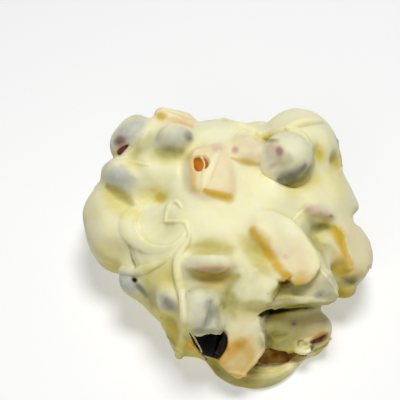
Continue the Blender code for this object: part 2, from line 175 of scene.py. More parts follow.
# Flat pieces that the coat runs over: the pixel that its plane passes, its thickness in mm, its
# rise towards the eye in mm, the way that it faces, and the pixels of its outline.
PLATES = {
    "corner": Plate((305, 292), 2.4, 0.4, (0.12, -0.72, 0.68), (
        (264, 310), (272, 298), (282, 288), (296, 282), (318, 272), (331, 279), (339, 291),
        (339, 302), (328, 307), (306, 305), (285, 305),
    )),
    "papaya_front": Plate((240, 318), 4.0, 0.5, (0.05, -0.84, 0.54), (
        (224, 316), (240, 313), (259, 315), (263, 333), (269, 345), (258, 364), (239, 382),
        (227, 373), (216, 361), (223, 350), (225, 336),
    )),
    "nose": Plate((268, 290), 2.4, 1.2, (-0.2, -0.58, 0.79), (
        (238, 262), (264, 258), (286, 268), (291, 277), (283, 280), (277, 287), (272, 297),
        (267, 306), (258, 314), (240, 310), (230, 290),
    )),
    "strip": Plate((287, 252), 1.6, 0.1, (0.05, -0.34, 0.94), (
        (252, 224), (261, 236), (270, 250), (277, 261), (284, 269), (288, 277), (294, 287),
        (302, 285), (311, 282), (318, 273), (323, 263), (319, 251), (312, 241), (303, 229),
        (292, 216), (272, 206), (256, 210),
    )),
    "chip": Plate((306, 348), 2.4, 2.4, (0.1, -0.6, 0.8), (
        (296, 343), (303, 340), (312, 339), (315, 347), (312, 355), (303, 356), (293, 352),
    )),
    "tatter": Plate((295, 353), 1.4, 1.2, (0.1, -0.6, 0.8), (
        (286, 354), (292, 349), (299, 349), (304, 353), (298, 356), (290, 357),
    )),
}

# The egg shape that is carved out under the overhanging corner.
CARVED_MIDDLE = Vector((17.5, -21.5, 15.3)) * MM
CARVED_RADII = Vector((9, 5, 1.7)) * MM

# Bulges and hollows of the coat: the pixel in the middle, the size in mm across and along, the rise
# in mm, and the turn in the view in degrees.
RELIEF = {
    "raisin_left": Oval((120, 177), (13, 7.5), 1.5, -35),
    "raisin_left_shade": Oval((122, 199), (11, 4), -0.5, -38),
    "berry_middle": Oval((173, 141), (10, 9), 1.1, 10),
    "berry_end": Oval((188, 137), (4, 4), 0.3),
    "left_of_slice": Oval((150, 152), (5, 8), -0.5, 20),
    "middle_lump": Oval((158, 172), (15, 8), 0.9),
    "middle_dent": Oval((160, 199), (9, 3.4), -0.7),
    "rim_body": Oval((130, 226), (6, 12), 0.6),
    "dish": Oval((158, 228), (11, 9), -0.6),
    "flap_middle": Oval((108, 228), (6, 7), 0.35),
    "flap_top": Oval((96, 200), (7, 8), 0.3),
    "flap_waist": Oval((112, 250), (9, 5), -0.4, -30),
    "belly_left": Oval((205, 222), (14, 9), 0.5),
    "trough": Oval((210, 248), (13, 3.6), -0.8),
    "lips": Oval((208, 263), (13, 4.4), 1.3),
    "lips_shade": Oval((214, 280), (14, 4.4), -0.6),
    "front_bump": Oval((203, 302), (8, 8), 0.6),
    "raisin_lobe": Oval((197, 321), (5, 6), 1.3),
    "cranberry_side": Oval((142, 139), (5, 12), 0.9, 48),
    "raisin_side": Oval((218, 327), (3.4, 4.4), 0.9),
    "nose": Oval((243, 290), (12, 10), 0.8),
    "strip_valley": Oval((255, 256), (5.5, 13), -1.5, 35),
    "strip_crown": Oval((280, 238), (5, 18), 0.8, 38),
    "strip_hollow": Oval((298, 252), (5, 10), -0.4, 38),
    "berry_right": Oval((290, 154), (12, 10), 0.4, 20),
    "below_berry": Oval((287, 194), (15, 8), 3.2),
    "left_of_berry": Oval((264, 180), (9, 9), 2.4),
    "berry_waist": Oval((275, 163), (3, 5), -0.4, 20),
    "shoulder_crease": Oval((318, 153), (2.6, 6), -0.8),
    "shoulder_dent": Oval((336, 161), (3.4, 4.6), -1.7, 15),
    "shoulder_lump": Oval((328, 143), (8, 7), 0.5),
    "right_lobe_top": Oval((325, 190), (14, 9), 0.5),
    "right_berry": Oval((318, 213), (9, 5), 0.7, -15),
    "notch": Oval((358, 218), (5, 3.4), -2.2),
    "right_foot": Oval((347, 291), (8, 6), 1.8),
    "low_right": Oval((333, 325), (9, 9), 1.4),
    "foot_front": Oval((262, 389), (24, 6), 1),
    "recess": Oval((318, 229), (8, 5), -1.3, -25),
    "recess_lump": Oval((324, 244), (5, 6), 1.9, 20),
    "arm": Oval((300, 224), (4, 8), 0.5, 25),
    "corner_hollow": Oval((288, 290), (8, 4), -0.7, 15),
    "foot_step": Oval((199, 371), (7, 5), -1),
    "corner_dent": Oval((336, 273), (5, 7), -1.9, -40),
    "low_top": Oval((280, 327), (9, 4), 0.6),
    "low_lump": Oval((283, 344), (10, 5), 0.9),
    "low_dent": Oval((262, 335), (3, 6), -0.6),
    "side_raisin": Oval((127, 282), (8, 6), 0.6, -40),
    "side_lump": Oval((167, 302), (7, 6), 0.6, -50),
    "side_hollow": Oval((148, 296), (6, 6), -0.7, -40),
    "right_of_drip": Oval((189, 312), (4, 14), 0.9),
    "drip_bulb": Oval((180, 351), (4, 4.5), 0.7),
    "left_of_drip": Oval((172, 322), (5, 8), -0.9),
    "papaya_top_left": Oval((181, 172), (7, 15), 1.6),
    "papaya_top_foot": Oval((189, 199), (7, 5), 0.8),
    "papaya_top_right": Oval((241, 172), (6, 15), 1.3),
    "papaya_top_corner": Oval((230, 150), (5, 5), 0.7),
    "papaya_left": Oval((222, 338), (3, 6), -0.6),
    "low_step": Oval((292, 345), (14, 4), -0.7, 15),
    "low_front": Oval((312, 330), (8, 6), 0.5),
    "far_hollow_left": Oval(At(150, 20), (10, 8), -0.9),
    "far_hollow_middle": Oval(At(100, 16), (8, 8), -0.9),
    "far_hollow_right": Oval(At(38, 16), (8, 8), -0.8),
    "far_bump_left": Oval(At(165, 17), (8, 8), 0.6),
    "far_bump_right": Oval(At(18, 18), (8, 6), 0.6),
    "far_left_hollow": Oval(At(192, 12), (9, 6), -0.7),
}

# Where the coat runs over an edge and hides it, in the same way, with a strength for the rise.
SOFTENED = {
    "raisin_top": Oval((204, 290), (13, 7)),
    "papaya_front_top": Oval((238, 316), (9, 4)),
    "strip_top": Oval((270, 212), (12, 7)),
    "cranberry_right": Oval((144, 138), (6, 15), 1, 48),
    "slice_foot": Oval((176, 123), (13, 3), 1, -10),
    "papaya_top_back": Oval((208, 147), (13, 4)),
    "papaya_pink_back": Oval((248, 137), (9, 4)),
    "berry_right_left": Oval((268, 158), (4, 9)),
    "papaya_right_top": Oval((345, 226), (10, 6)),
    "nose_top": Oval((262, 268), (14, 7), 1, -20),
    "berry_left_foot": Oval((270, 177), (9, 10)),
    "berry_foot": Oval((287, 187), (14, 6)),
    "raisin_left_foot": Oval((114, 195), (14, 5), 0.8, -38),
    "papaya_top_left": Oval((186, 174), (4, 13)),
    "papaya_top_right": Oval((238, 174), (4, 13)),
}

# Threads, folds and rims of the coat: each one's height as a share of its half width, and its
# stations.
THREADS = {
    "string_loop": line(
        0.9, (181, 207, 0.4), (178, 203, 0.55), (175, 202, 0.6), (170, 205, 0.65), (167, 212, 0.6),
        (165.5, 219, 0.6),
    ),
    "string_foot": line(
        0.8, (160, 222, 0.2), (167, 222, 0.55), (176, 222, 0.6), (184, 222, 0.65), (188, 227, 0.7),
        (190, 238, 0.4),
    ),
    "dish_rim": line(
        0.25, (146, 207, 0.6), (134, 213, 2), (129, 224, 2.6), (132, 236, 2.4), (140, 245, 1.6),
        (152, 250, 1.1), (166, 249, 0.8), (178, 241, 0.8), (186, 229, 0.8),
    ),
    "front_fold": line(
        0.4, (170, 256, 0.4), (160, 263, 0.7), (150, 267, 0.9), (138, 270, 1.1), (126, 270, 1.1),
        (117, 270, 0.8),
    ),
    "drip": line(
        0.75, (189, 234, 0.5), (187, 243, 0.8), (180, 253, 1), (176, 264, 1.1), (178, 279, 1.2),
        (182, 296, 1.2), (184, 316, 1.3), (184, 334, 1.3), (180, 348, 1.2), (179, 356, 1.1),
    ),
    "veil": line(
        0.3, (220, 147, 0.5), (216, 155, 1.1), (211, 164, 1.4), (207, 174, 1.4), (204, 186, 0.9),
    ),
    "veil_inner": line(0.4, (221, 158, 0.2), (215, 166, 0.35), (211, 176, 0.3), (209, 186, 0.2)),
    "back_fold": line(
        0.5, (225, 120, 0.6), (240, 124, 1), (253, 129, 1.2), (264, 135, 1.2), (274, 134, 1.2),
        (284, 129, 1.2), (302, 122, 1.4), (322, 121, 0.8),
    ),
    "side_fold": line(0.5, (288, 130, 0.8), (298, 132, 1), (306, 138, 1), (312, 148, 0.6)),
    "slice_rim": line(
        0.6, (154, 113, 0.3), (159, 109, 0.6), (168, 110, 0.6), (180, 114, 0.6), (192, 121, 0.4),
    ),
    "pink_ridge": line(0.5, (236, 136, 0.4), (246, 131, 0.7), (256, 133, 0.7), (262, 140, 0.4)),
    "corner_side": line(0.7, (318, 268, 0.3), (327, 277, 0.6), (334, 287, 0.6), (338, 297, 0.4)),
    "papaya_rim": line(
        0.7, (258, 320, 0.25), (260, 333, 0.4), (264, 345, 0.45), (254, 362, 0.4), (240, 377, 0.3),
    ),
    "corner_edge": line(0.5, (268, 302, 0.3), (280, 298, 0.5), (298, 297, 0.5), (314, 299, 0.3)),
    "tatter": line(0.7, (300, 341, 0.3), (309, 340, 0.6), (318, 337, 0.7), (327, 332, 0.4)),
    "rust_lip": line(0.8, (314, 347, 0.4), (321, 344, 0.7), (330, 338, 0.4)),
    "far_drip_left": far_line(
        0.4, (146, 31, 0.4), (149, 25, 0.8), (151, 18, 1), (150, 11, 1.1), (151, 7, 1.3),
    ),
    "far_drip_middle": far_line(
        0.4, (88, 33, 0.4), (91, 27, 0.8), (90, 21, 0.9), (93, 14, 1), (92, 10, 1.3),
    ),
    "far_drip_right": far_line(0.4, (40, 30, 0.4), (42, 24, 0.8), (40, 17, 0.9), (42, 11, 1.2)),
    "far_fold": far_line(0.16, (60, 27, 0.5), (72, 24, 2), (84, 25, 2.8), (98, 28, 2), (112, 26, 0.5)),
    "far_string": far_line(
        0.9, (118, 24, 0.3), (124, 21, 0.45), (132, 20, 0.5), (138, 22, 0.5), (136, 26, 0.45),
        (129, 27, 0.3),
    ),
    "left_rim": line(0.6, (160, 317, 0.4), (165, 331, 0.6), (172, 342, 0.6), (180, 352, 0.4)),
    "foot_rim": line(
        0.6, (230, 372, 0.4), (244, 374, 0.7), (260, 376, 0.9), (276, 375, 0.8), (290, 368, 0.4),
    ),
    "low_rim": line(
        0.8, (332, 340, 0.5), (322, 347, 0.7), (310, 355, 0.7), (298, 361, 0.6), (284, 366, 0.4),
    ),
}

# Creases, in the same way.
CREASES = {
    "chip_slit": line(0.9, (306, 350, 0.4), (311, 348, 0.6), (314, 345, 0.4)),
    "low_crevice": line(0.8, (266, 330, 0.5), (269, 340, 0.9), (270, 350, 0.6)),
    "slit": line(
        1.8, (260, 315, 0.5), (268, 312, 0.8), (279, 311, 0.8), (291, 310, 0.5), (306, 308, 0.3),
    ),
    "low_dimple": line(0.5, (272, 334, 0.4), (279, 337, 0.9), (287, 335, 0.4)),
    "strip_foot": line(0.7, (278, 281, 0.5), (284, 284, 0.9), (291, 284, 0.6)),
    "rust_gap": line(0.8, (311, 342, 0.5), (318, 340, 0.9), (326, 334, 0.4)),
    "raisin_fold": line(0.5, (212, 303, 0.6), (212, 312, 1.1), (209, 320, 1.1), (206, 328, 0.6)),
    "fold_crease": line(0.4, (262, 140, 0.5), (269, 141, 0.7), (277, 140, 0.5)),
}

# Ledges, in the same way: the coat stands high on the right of the line, and low on its left.
LEDGES = {
    "dish_edge": line(
        0.3, (146, 209, 0.5), (139, 215, 1.1), (136, 225, 1.4), (140, 236, 1.5), (148, 243, 1.4),
        (159, 246, 1.3), (170, 245, 1.1), (179, 239, 0.9), (185, 230, 0.6),
    ),
    "fold_seam": line(0.45, (137, 267, 0.8), (134, 259, 1.2), (130, 250, 0.6)),
    "fold_edge": line(
        0.17, (168, 261, 0.5), (158, 267, 1), (148, 272, 1.4), (136, 275, 1.7), (124, 275, 1.6),
        (116, 273, 1),
    ),
    "papaya_edge": line(
        -0.6, (254, 364, 0.5), (261, 354, 1.2), (265, 346, 1.3), (262, 335, 1.3), (258, 318, 0.6),
    ),
    "sail_edge": line(
        0.4, (292, 276, 0.6), (284, 280, 1.2), (278, 287, 1.5), (273, 297, 1.5), (268, 305, 0.6),
    ),
    "lips_edge": line(
        0.3, (229, 269, 0.4), (221, 272, 1.2), (212, 273, 1.6), (200, 272, 1.4), (188, 268, 0.6),
    ),
    "right_face_edge": line(
        0.4, (354, 269, 0.6), (350, 258, 1.3), (346, 246, 1.5), (344, 236, 1.6), (336, 227, 0.8),
    ),
    "right_face_foot": line(-0.5, (342, 277, 0.7), (352, 273, 1.6), (363, 271, 1.4), (371, 268, 0.7)),
    "dome_left": line(0.2, (291, 225, 0.5), (297, 215, 1.4), (306, 208, 1.4), (317, 204, 0.5)),
    "hollow_edge": line(-0.5, (341, 151, 0.5), (343, 158, 0.9), (343, 165, 1), (339, 170, 0.6)),
    "cranberry_edge": line(
        0.3, (112, 158, 0.5), (121, 157, 1.2), (130, 152, 1.3), (137, 143, 1.2), (145, 132, 0.6),
    ),
}

# Where a fruit is bare: the pixels round each opening in the coat, and the strands left across it.
BARE = {
    "raisin_tip": Bare(
        "raisin_front",
        (
            (187, 334), (199, 336), (208, 334), (217, 335), (225, 331), (227, 342), (224, 352),
            (216, 362), (205, 363), (194, 350),
        ),
        (line(1, (191, 335, 0.3), (196, 343, 0.25), (200, 350, 0.25), (205, 362, 0.3)),),
    ),
    "papaya_hole": Bare(
        "papaya_top",
        ((193, 159), (199, 156), (206, 157), (209, 162), (207, 167), (201, 170), (195, 169)),
        (line(1, (201, 156, 0.35), (204, 161, 0.28), (204, 166, 0.28), (202, 172, 0.35)),),
    ),
    "cranberry_slit": Bare(
        "cranberry_left",
        ((114, 158), (116, 152), (121, 148), (128, 145), (126, 149), (121, 154)),
        (),
    ),
    "low_fruit": Bare(
        "papaya_low",
        (
            (250, 354), (264, 347), (276, 351), (290, 352), (305, 354), (297, 361), (286, 366),
            (270, 369), (252, 367),
        ),
        (),
    ),
}

# Tints mixed into the coat's colour, each over those before it: fruit that shows through the coat, and
# painted light and shade. The cream tint is painted light; the yellow and olive tints are painted shade;
# the golden, slate and rust tints are partly fruit colour and partly painted shade; the brown tint is
# dark fruit and pits and partly painted shadow; the blush tint is pale strands and partly painted
# highlights.
TINTS = {
    "painted_light": (0.95, 0.91, 0.62),
    "painted_yellow_shade": (0.68, 0.58, 0.08),
    "peach": (0.80, 0.64, 0.40),
    "grey": (0.52, 0.53, 0.46),
    "painted_olive_shade": (0.27, 0.25, 0.05),
    "golden_and_painted_shade": (0.62, 0.43, 0.02),
    "orange": (0.74, 0.42, 0.03),
    "pink": (0.55, 0.28, 0.24),
    "slate_and_painted_shade": (0.13, 0.13, 0.11),
    "rust_and_painted_shade": (0.26, 0.07, 0.012),
    "brown_and_painted_shadow": (0.022, 0.008, 0.006),
    "blush_and_painted_highlight": (0.85, 0.62, 0.52),
}

# The ovals that each tint fills: the middle, the size in mm, the strength and the turn. Many of them are
# painted light or painted shade.
PATCHES = {
    # Painted light: brightens places that lie in shade, and lit ridges and rims.
    "painted_light": (
        Oval((157, 172), (13, 6), 0.8), Oval((218, 160), (5, 10), 0.6, 30), Oval((242, 325), (12, 9)),
        Oval((268, 168), (4, 14), 1, 20), Oval((288, 189), (12, 4), 0.5, 10),
        Oval((284, 192), (10, 3), 0.6), Oval((303, 230), (5, 6), 0.5, 30), Oval((106, 226), (7, 8), 0.5),
        Oval((90, 232), (6, 14), 0.3), Oval((158, 176), (14, 8), 0.5), Oval((311, 222), (6, 4), 0.7),
        Oval((305, 347), (5.4, 5), 1.4), Oval((276, 371), (26, 3), 0.6, 4), Oval((322, 319), (7, 7)),
        Oval((266, 326), (4, 7), 0.5), Oval((173, 133), (7, 3), 0.5, 10), Oval((205, 222), (12, 6), 0.4),
        Oval((244, 292), (7, 6)),
    ),
    # Painted shade: yellow in valleys, troughs, pockets and under lumps.
    "painted_yellow_shade": (
        Oval((257, 257), (5, 12), 0.65, 35), Oval((210, 249), (12, 4), 0.6),
        Oval((112, 258), (14, 5), 0.3, -35), Oval((152, 195), (14, 5), 0.5),
        Oval((319, 154), (3.6, 5), 0.9), Oval((324, 228), (6, 3), 0.4), Oval((344, 272), (7, 3), 0.8),
        Oval((172, 328), (8, 13), 0.9), Oval((160, 278), (12, 9), 0.6),
        Oval((288, 289), (12, 5), 0.4, 10), Oval((285, 332), (18, 14), 0.45),
        Oval((260, 380), (26, 6), 0.4), Oval((205, 365), (10, 8), 0.7, -40),
        Oval((136, 160), (5, 6), 0.4), Oval((172, 156), (11, 5), 0.5, -5),
        Oval((300, 186), (12, 4), 0.5, 20), Oval((347, 293), (9, 6), 0.3), Oval((270, 136), (8, 3), 0.6),
        Oval((337, 178), (6, 10), 0.3), Oval((244, 310), (14, 5), 0.5), Oval((228, 300), (4, 8), 0.5),
        Oval((120, 202), (6, 14), 0.6, 50), Oval((316, 243), (3, 7), 0.5, 35),
    ),
    # Fruit seen through the film, and painted shade under lumps, on side faces and under the slabs.
    "golden_and_painted_shade": (
        Oval((161, 198), (3.2, 2.4), 0.8), Oval((172, 331), (4, 5), 0.6), Oval((191, 344), (3.4, 7), 0.6),
        Oval((162, 116), (3, 2.2), 0.9), Oval((341, 262), (5, 6), 0.6, 20), Oval((344, 293), (4, 3), 0.5),
        Oval((255, 234), (3, 4), 0.7, 35), Oval((335, 162), (2.8, 4), 0.9, 15),
        Oval((319, 155), (1.8, 2.6), 0.5), Oval((299, 278), (5, 3), 0.6, 10),
    ),
    "peach": (
        Oval((176, 121), (10, 3), 0.8, -10), Oval((211, 266), (13, 2.4), 0.6),
        Oval((302, 276), (6, 4), 0.8), Oval((292, 262), (9, 12), 0.6, 38),
        Oval((282, 246), (5, 9), 0.3, 38), Oval((354, 272), (6, 2), 0.6, 20),
        Oval((314, 325), (8, 8), 0.6),
    ),
    "grey": (
        Oval((119, 178), (11, 6.6), 1, -35), Oval((127, 132), (13, 6), 1, 48),
        Oval((173, 137), (9.5, 5.5), 0.8, 10), Oval((203, 316), (7.5, 9), 0.6),
        Oval((201, 301), (7, 5), 0.4), Oval((208, 261), (12, 2.4), 0.35),
        Oval((271, 152), (4, 7), 0.5, 20), Oval((127, 283), (8, 6), 0.95, -45),
        Oval((167, 302), (8, 5), 0.65, -45), Oval((326, 286), (5, 9), 0.5, -50),
        Oval((248, 150), (6, 6), 0.2), Oval((318, 209), (7, 3), 0.4, -15),
        Oval((307, 228), (5, 5), 0.25, 30), Oval((343, 145), (1.4, 6), 0.7, 25),
        Oval((325, 241), (4, 5), 0.2, 20), Oval((319, 248), (2.4, 6), 0.3, 30),
        Oval(At(75, 21), (9, 7), 0.7, 10), Oval(At(128, 17), (9, 7), 0.7), Oval(At(100, 8), (8, 6), 0.6),
        Oval(At(152, 9), (9, 6), 0.6), Oval(At(30, 8), (8, 6), 0.6),
        # These broad ovals low on the far side dull the painted shade there.
        *(Oval(At(bearing, 8), (28, 20), 0.4) for bearing in range(10, 171, 40)),
    ),
    # Painted shade: under the lips, the raisins and the corner, above the papaya slab and at the foot.
    "painted_olive_shade": (
        Oval((324, 289), (6, 9), 0.25, -50), Oval((330, 252), (3, 5), 0.25, 20),
        Oval((286, 160), (4, 3.4), 0.3, 30), Oval((229, 283), (6, 4.4), 0.5, -20),
        Oval((231, 301), (4, 9), 0.5), Oval((255, 307), (8, 3), 0.5, 8),
        Oval((256, 258), (4, 11), 0.25, 35), Oval((172, 323), (3.6, 4.8), 0.6),
        Oval((190, 344), (2, 5), 0.6), Oval((345, 294), (8, 4), 0.4), Oval((173, 152), (8, 3.8), 0.5, -8),
        Oval((218, 280), (19, 8), 0.4), Oval((325, 226), (4, 1.6), 0.9, -10),
        Oval((270, 141), (4, 1.2), 0.6), Oval((262, 381), (26, 5), 0.3),
        Oval((225, 374), (10, 5), 0.3, -20), Oval((209, 363), (6, 3), 0.5),
        Oval((292, 288), (12, 2.8), 0.5, 10), Oval((284, 301), (7, 2.4), 0.45),
        Oval((151, 299), (7, 4), 0.6, -45), Oval((215, 372), (8, 4), 0.6, -25),
        Oval((280, 333), (8, 1.6), 0.5), Oval((280, 341), (12, 5), 0.6),
        Oval((292, 314), (16, 4), 0.25, 3), Oval((268, 320), (6, 6), 0.1),
        Oval((285, 324), (16, 9), 0.35), Oval((210, 250), (11, 3), 0.35), Oval((266, 317), (4, 3), 0.4),
        Oval((266, 342), (4, 6), 0.5), Oval((290, 344), (12, 3), 0.5, 10),
        Oval((296, 308), (18, 2.4), 0.8, 4), Oval((146, 143), (4, 8), 0.4, -40),
        Oval((350, 281), (7, 2.4), 0.5, 20), Oval((170, 328), (6, 10), 0.4),
        Oval((258, 385), (24, 3.4), 0.5), Oval((315, 240), (1.6, 5), 0.5, 30),
        Oval((317, 229), (5, 2), 0.6, 30), Oval((225, 306), (2, 5), 0.3), Oval(At(120, 6), (14, 4), 0.3),
        Oval(At(60, 6), (14, 4), 0.3),
    ),
    "orange": (
        Oval((240, 343), (4, 3.4), 0.9, 20), Oval((240, 362), (10, 17), 0.5, 10),
        Oval((288, 277), (3, 2), 0.7, 20), Oval((297, 282), (4, 1.2), 0.5, 10),
        Oval((192, 345), (2.6, 5), 0.8, 30), Oval((192, 162), (2, 5), 0.4),
        Oval((274, 359), (14, 4), 0.4, 5),
    ),
    "pink": (
        Oval((216, 148), (2.6, 2.2), 0.35), Oval((235, 150), (1.9, 2.4), 0.7),
        Oval((279, 151), (2, 2.6), 0.9, 20), Oval((271, 152), (4, 7), 0.25, 20),
        Oval((273, 165), (3, 1.6), 0.5, 30), Oval((213, 269), (11, 1.6), 0.5, 3),
        Oval((326, 216), (3, 1.2), 0.6, -15), Oval((286, 257), (1.4, 1), 0.4, -40),
        Oval((121, 142), (3.6, 3.6), 0.8, 20), Oval((294, 323), (2, 1.8), 0.6),
        Oval((369, 268), (1.6, 1.6), 0.5), Oval(At(106, 20), (5, 1.6), 0.5, 15),
        Oval(At(78, 24), (4, 1.4), 0.5, -20),
    ),
    # Dark fruit seen through the film, and painted shade on the undersides of berries and lobes.
    "slate_and_painted_shade": (
        Oval((120, 141), (2.8, 2.6), 0.8, 20), Oval((189, 136), (2.6, 2.6), 0.5, 20),
        Oval((176, 150), (5, 1.6), 0.2, -10), Oval((212, 309), (3, 4.5), 0.5, 15),
        Oval((207, 322), (2, 4), 0.35, -30), Oval((219, 324), (1.6, 5), 0.4, 10),
        Oval((206, 331), (8, 1.6), 0.5), Oval((141, 289), (6, 1.8), 0.75, -50),
        Oval((168, 303), (5, 2.8), 0.65, -45), Oval((279, 151), (1.2, 1.6), 0.45),
        Oval((331, 297), (4, 2), 0.4, -10), Oval((320, 294), (3, 1.6), 0.4, 20),
        Oval((352, 283), (5, 1), 0.3, 20),
    ),
    # Fruit in the openings, and painted shadow under the strip's end and a strand.
    "rust_and_painted_shade": (
        Oval((240, 345), (2.6, 2.4), 0.25), Oval((202, 166), (2, 2.4), 0.4),
        Oval((319, 339), (5, 2.2), 1, 28), Oval((286, 281), (2.6, 1.8), 0.8, 20),
        Oval((306, 344), (1.6, 0.9), 0.5), Oval((294, 353), (2.4, 0.8), 0.6),
        Oval((197, 341), (1.2, 2), 0.4, 30),
    ),
    # Dark fruit and pits, and painted shadow in the slit under the corner and under the strip's end.
    "brown_and_painted_shadow": (
        Oval((134.6, 280), (1.9, 1.5), 1.3, -35), Oval((331, 216), (1.2, 0.9), 0.5, -15),
        Oval((320, 214), (0.8, 0.6), 0.2), Oval((120, 141), (1.3, 1.1), 0.2),
        Oval((190, 138), (1, 0.8), 0.3), Oval((320, 295), (0.5, 0.4), 0.4),
        Oval((294, 324), (0.8, 0.6), 0.6), Oval((254, 273), (0.4, 0.4), 0.6),
        Oval((189, 291), (0.4, 0.4), 0.6), Oval((268, 293), (0.4, 0.4), 0.6),
        Oval((220, 305), (0.3, 0.3), 0.6), Oval((286, 282), (2, 1.2), 0.6, 20),
        Oval((264, 313), (2, 1.2), 0.8), Oval((312, 348), (1.2, 0.8), 0.9, 20),
        Oval((265, 343), (1, 2.4), 0.6), Oval((322, 337), (1.6, 0.7), 0.6, 25),
        Oval(At(52, 14), (3, 2.4)), Oval(At(129, 16), (1.2, 1)),
    ),
}

# The lines that each tint follows: the strength and the stations. Many are painted shade under ledges and
# in slits, or painted highlights along ridges and rims.
TINT_LINES = {
    # Painted shade under the raisin and the lips and along the strip's side, and fruit seen through the
    # film.
    "golden_and_painted_shade": (
        line(0.3, (110, 188, 0.8), (117, 192, 1.3), (124, 196, 1.6), (130, 202, 1)),
        line(0.6, (192, 272, 0.8), (202, 276, 2.2), (213, 278, 2.8), (224, 278, 2.2), (234, 276, 0.8)),
        line(0.9, (252, 230, 1), (259, 240, 2.2), (267, 251, 1.6), (276, 264, 1.5), (287, 276, 1.4)),
        line(1, (334, 228, 1.4), (339, 236, 1.6), (342, 246, 1.1), (346, 256, 0.6)),
        line(1.1, (205, 191, 0.6), (217, 195, 1.2), (228, 198, 1.5)),
        line(0.5, (192, 190, 0.9), (199, 191, 0.7)),
        line(0.8, (232, 158, 0.5), (240, 161, 0.9), (250, 163, 0.8), (259, 164, 0.5)),
        line(0.8, (331, 270, 0.8), (342, 271, 1.2), (352, 269, 0.6)),
    ),
    "orange": (
        line(0.9, (240, 341, 1.6), (233, 348, 2.8), (226, 355, 2.8), (219, 361, 1.4)),
        line(0.7, (241, 342, 1.6), (247, 350, 2.4), (250, 360, 2.4), (243, 372, 1.6)),
        line(0.9, (314, 338, 0.3), (320, 334, 0.45), (327, 333, 0.4)),
        line(0.6, (255, 233, 0.5), (263, 244, 0.9), (271, 258, 0.9), (280, 270, 0.9), (288, 278, 0.6)),
        line(0.6, (340, 243, 0.5), (345, 254, 0.6), (351, 265, 0.5)),
        line(0.5, (192, 158, 0.8), (193, 172, 1.3), (194, 187, 1)),
        line(0.5, (206, 190, 0.5), (216, 193, 0.8), (230, 195, 0.5)),
        line(0.6, (196, 156, 0.4), (206, 156, 0.4)),
        line(0.45, (167, 118, 0.6), (178, 121, 1), (191, 126, 0.8)),
        line(0.3, (152, 190, 0.5), (156, 191, 0.4)),
    ),
    "pink": (
        line(0.5, (308, 210, 1), (314, 211, 1.8), (321, 214, 1.5), (327, 215, 1.4), (333, 218, 0.8)),
    ),
    # Painted shade under the lips, the chip and a strand.
    "rust_and_painted_shade": (
        line(0.35, (190, 268, 0.4), (200, 272, 0.9), (212, 274, 1), (224, 273, 0.5)),
        line(0.8, (298, 345, 0.25), (299, 341, 0.4), (303, 340, 0.3)),
        line(0.8, (291, 351, 0.3), (298, 354, 0.4), (305, 356, 0.3)),
    ),
    # Pale strands and rims, and painted highlights along the raisin's torn edge.
    "blush_and_painted_highlight": (
        line(0.9, (284, 258, 0.15), (287, 256, 0.25), (290, 257, 0.15)),
        line(1, (191, 335, 0.3), (196, 343, 0.35), (200, 350, 0.35), (205, 361, 0.3)),
        line(0.5, (259, 322, 0.2), (261, 334, 0.3), (265, 345, 0.4), (255, 362, 0.35), (241, 377, 0.3)),
        line(0.3, (212, 334, 0.2), (206, 333, 0.3), (199, 335, 0.2)),
    ),
    # Painted light along ridges, rims and the drip.
    "painted_light": (
        line(0.9, (219, 150, 0.6), (214, 160, 1.3), (209, 172, 1.6), (205, 186, 1.4)),
        line(1, (292, 298, 0.4), (308, 299, 0.6), (324, 301, 0.4)),
        line(0.9, (181, 258, 0.6), (178, 270, 1.2), (178, 284, 1.2), (182, 298, 0.8)),
        line(0.8, (319, 268, 0.3), (328, 277, 0.5), (335, 287, 0.5), (338, 296, 0.3)),
        line(1, (284, 366, 0.4), (294, 363, 0.6), (303, 358, 0.6), (313, 353, 0.4)),
        line(0.7, (161, 320, 0.4), (166, 332, 0.5), (173, 343, 0.5), (181, 352, 0.4)),
    ),
    # With the slate and olive lines below: the berry's lower side, fruit through the film darkened as
    # painted shade.
    "grey": (
        line(0.6, (276, 175, 1), (286, 174, 2.2), (297, 169, 2.4), (305, 161, 0.8)),
    ),
    "slate_and_painted_shade": (
        line(0.8, (279, 180, 0.8), (287, 179, 2), (297, 174, 2), (305, 166, 0.8)),
    ),
    # Painted shade under the berry and the raisin, below the corner, beside the nose and in valleys.
    "painted_olive_shade": (
        line(0.9, (286, 185, 0.8), (296, 182, 1.6), (304, 177, 1.7), (310, 168, 1)),
        line(0.8, (107, 186, 0.8), (116, 191, 1.3), (124, 196, 1.6), (131, 203, 1.2)),
        line(0.6, (268, 307, 0.4), (284, 305, 0.8), (300, 304, 0.9), (320, 304, 0.9), (335, 302, 0.6)),
        line(0.5, (129, 246, 0.5), (133, 256, 0.9), (137, 265, 0.9)),
        line(0.75, (238, 276, 1.2), (231, 281, 2.6), (227, 289, 2.4), (224, 298, 1.8), (224, 307, 0.8)),
        line(0.5, (309, 236, 0.5), (315, 244, 0.8), (321, 252, 0.9), (324, 260, 1.2), (328, 268, 0.8)),
    ),
    # Painted shadow in the slit under the corner; dark fruit at the raisin's tip and along the low fruit.
    "brown_and_painted_shadow": (
        line(1.2, (261, 315, 0.8), (268, 312, 1.2), (279, 311, 0.9), (291, 310, 0.4)),
        line(0.8, (290, 310, 0.5), (302, 308, 0.5), (314, 308, 0.3)),
        line(1.8, (223, 333, 0.5), (224, 341, 1.5), (220, 350, 1.6), (214, 357, 0.8)),
        line(1, (198, 348, 0.3), (202, 354, 0.6), (206, 359, 0.5)),
        line(0.8, (256, 365, 0.4), (266, 365, 0.7), (278, 364, 0.7), (288, 361, 0.4)),
        line(0.8, (306, 355, 0.25), (311, 352, 0.35), (314, 346, 0.25)),
    ),
}


def view_axes(spot):
    """Right and up as seen when looking at a spot."""
    if isinstance(spot, At):
        turn = math.radians(spot.bearing)
        return Vector((-math.sin(turn), math.cos(turn), 0)), Vector((0, 0, 1))
    return VIEW_RIGHT, VIEW_UP


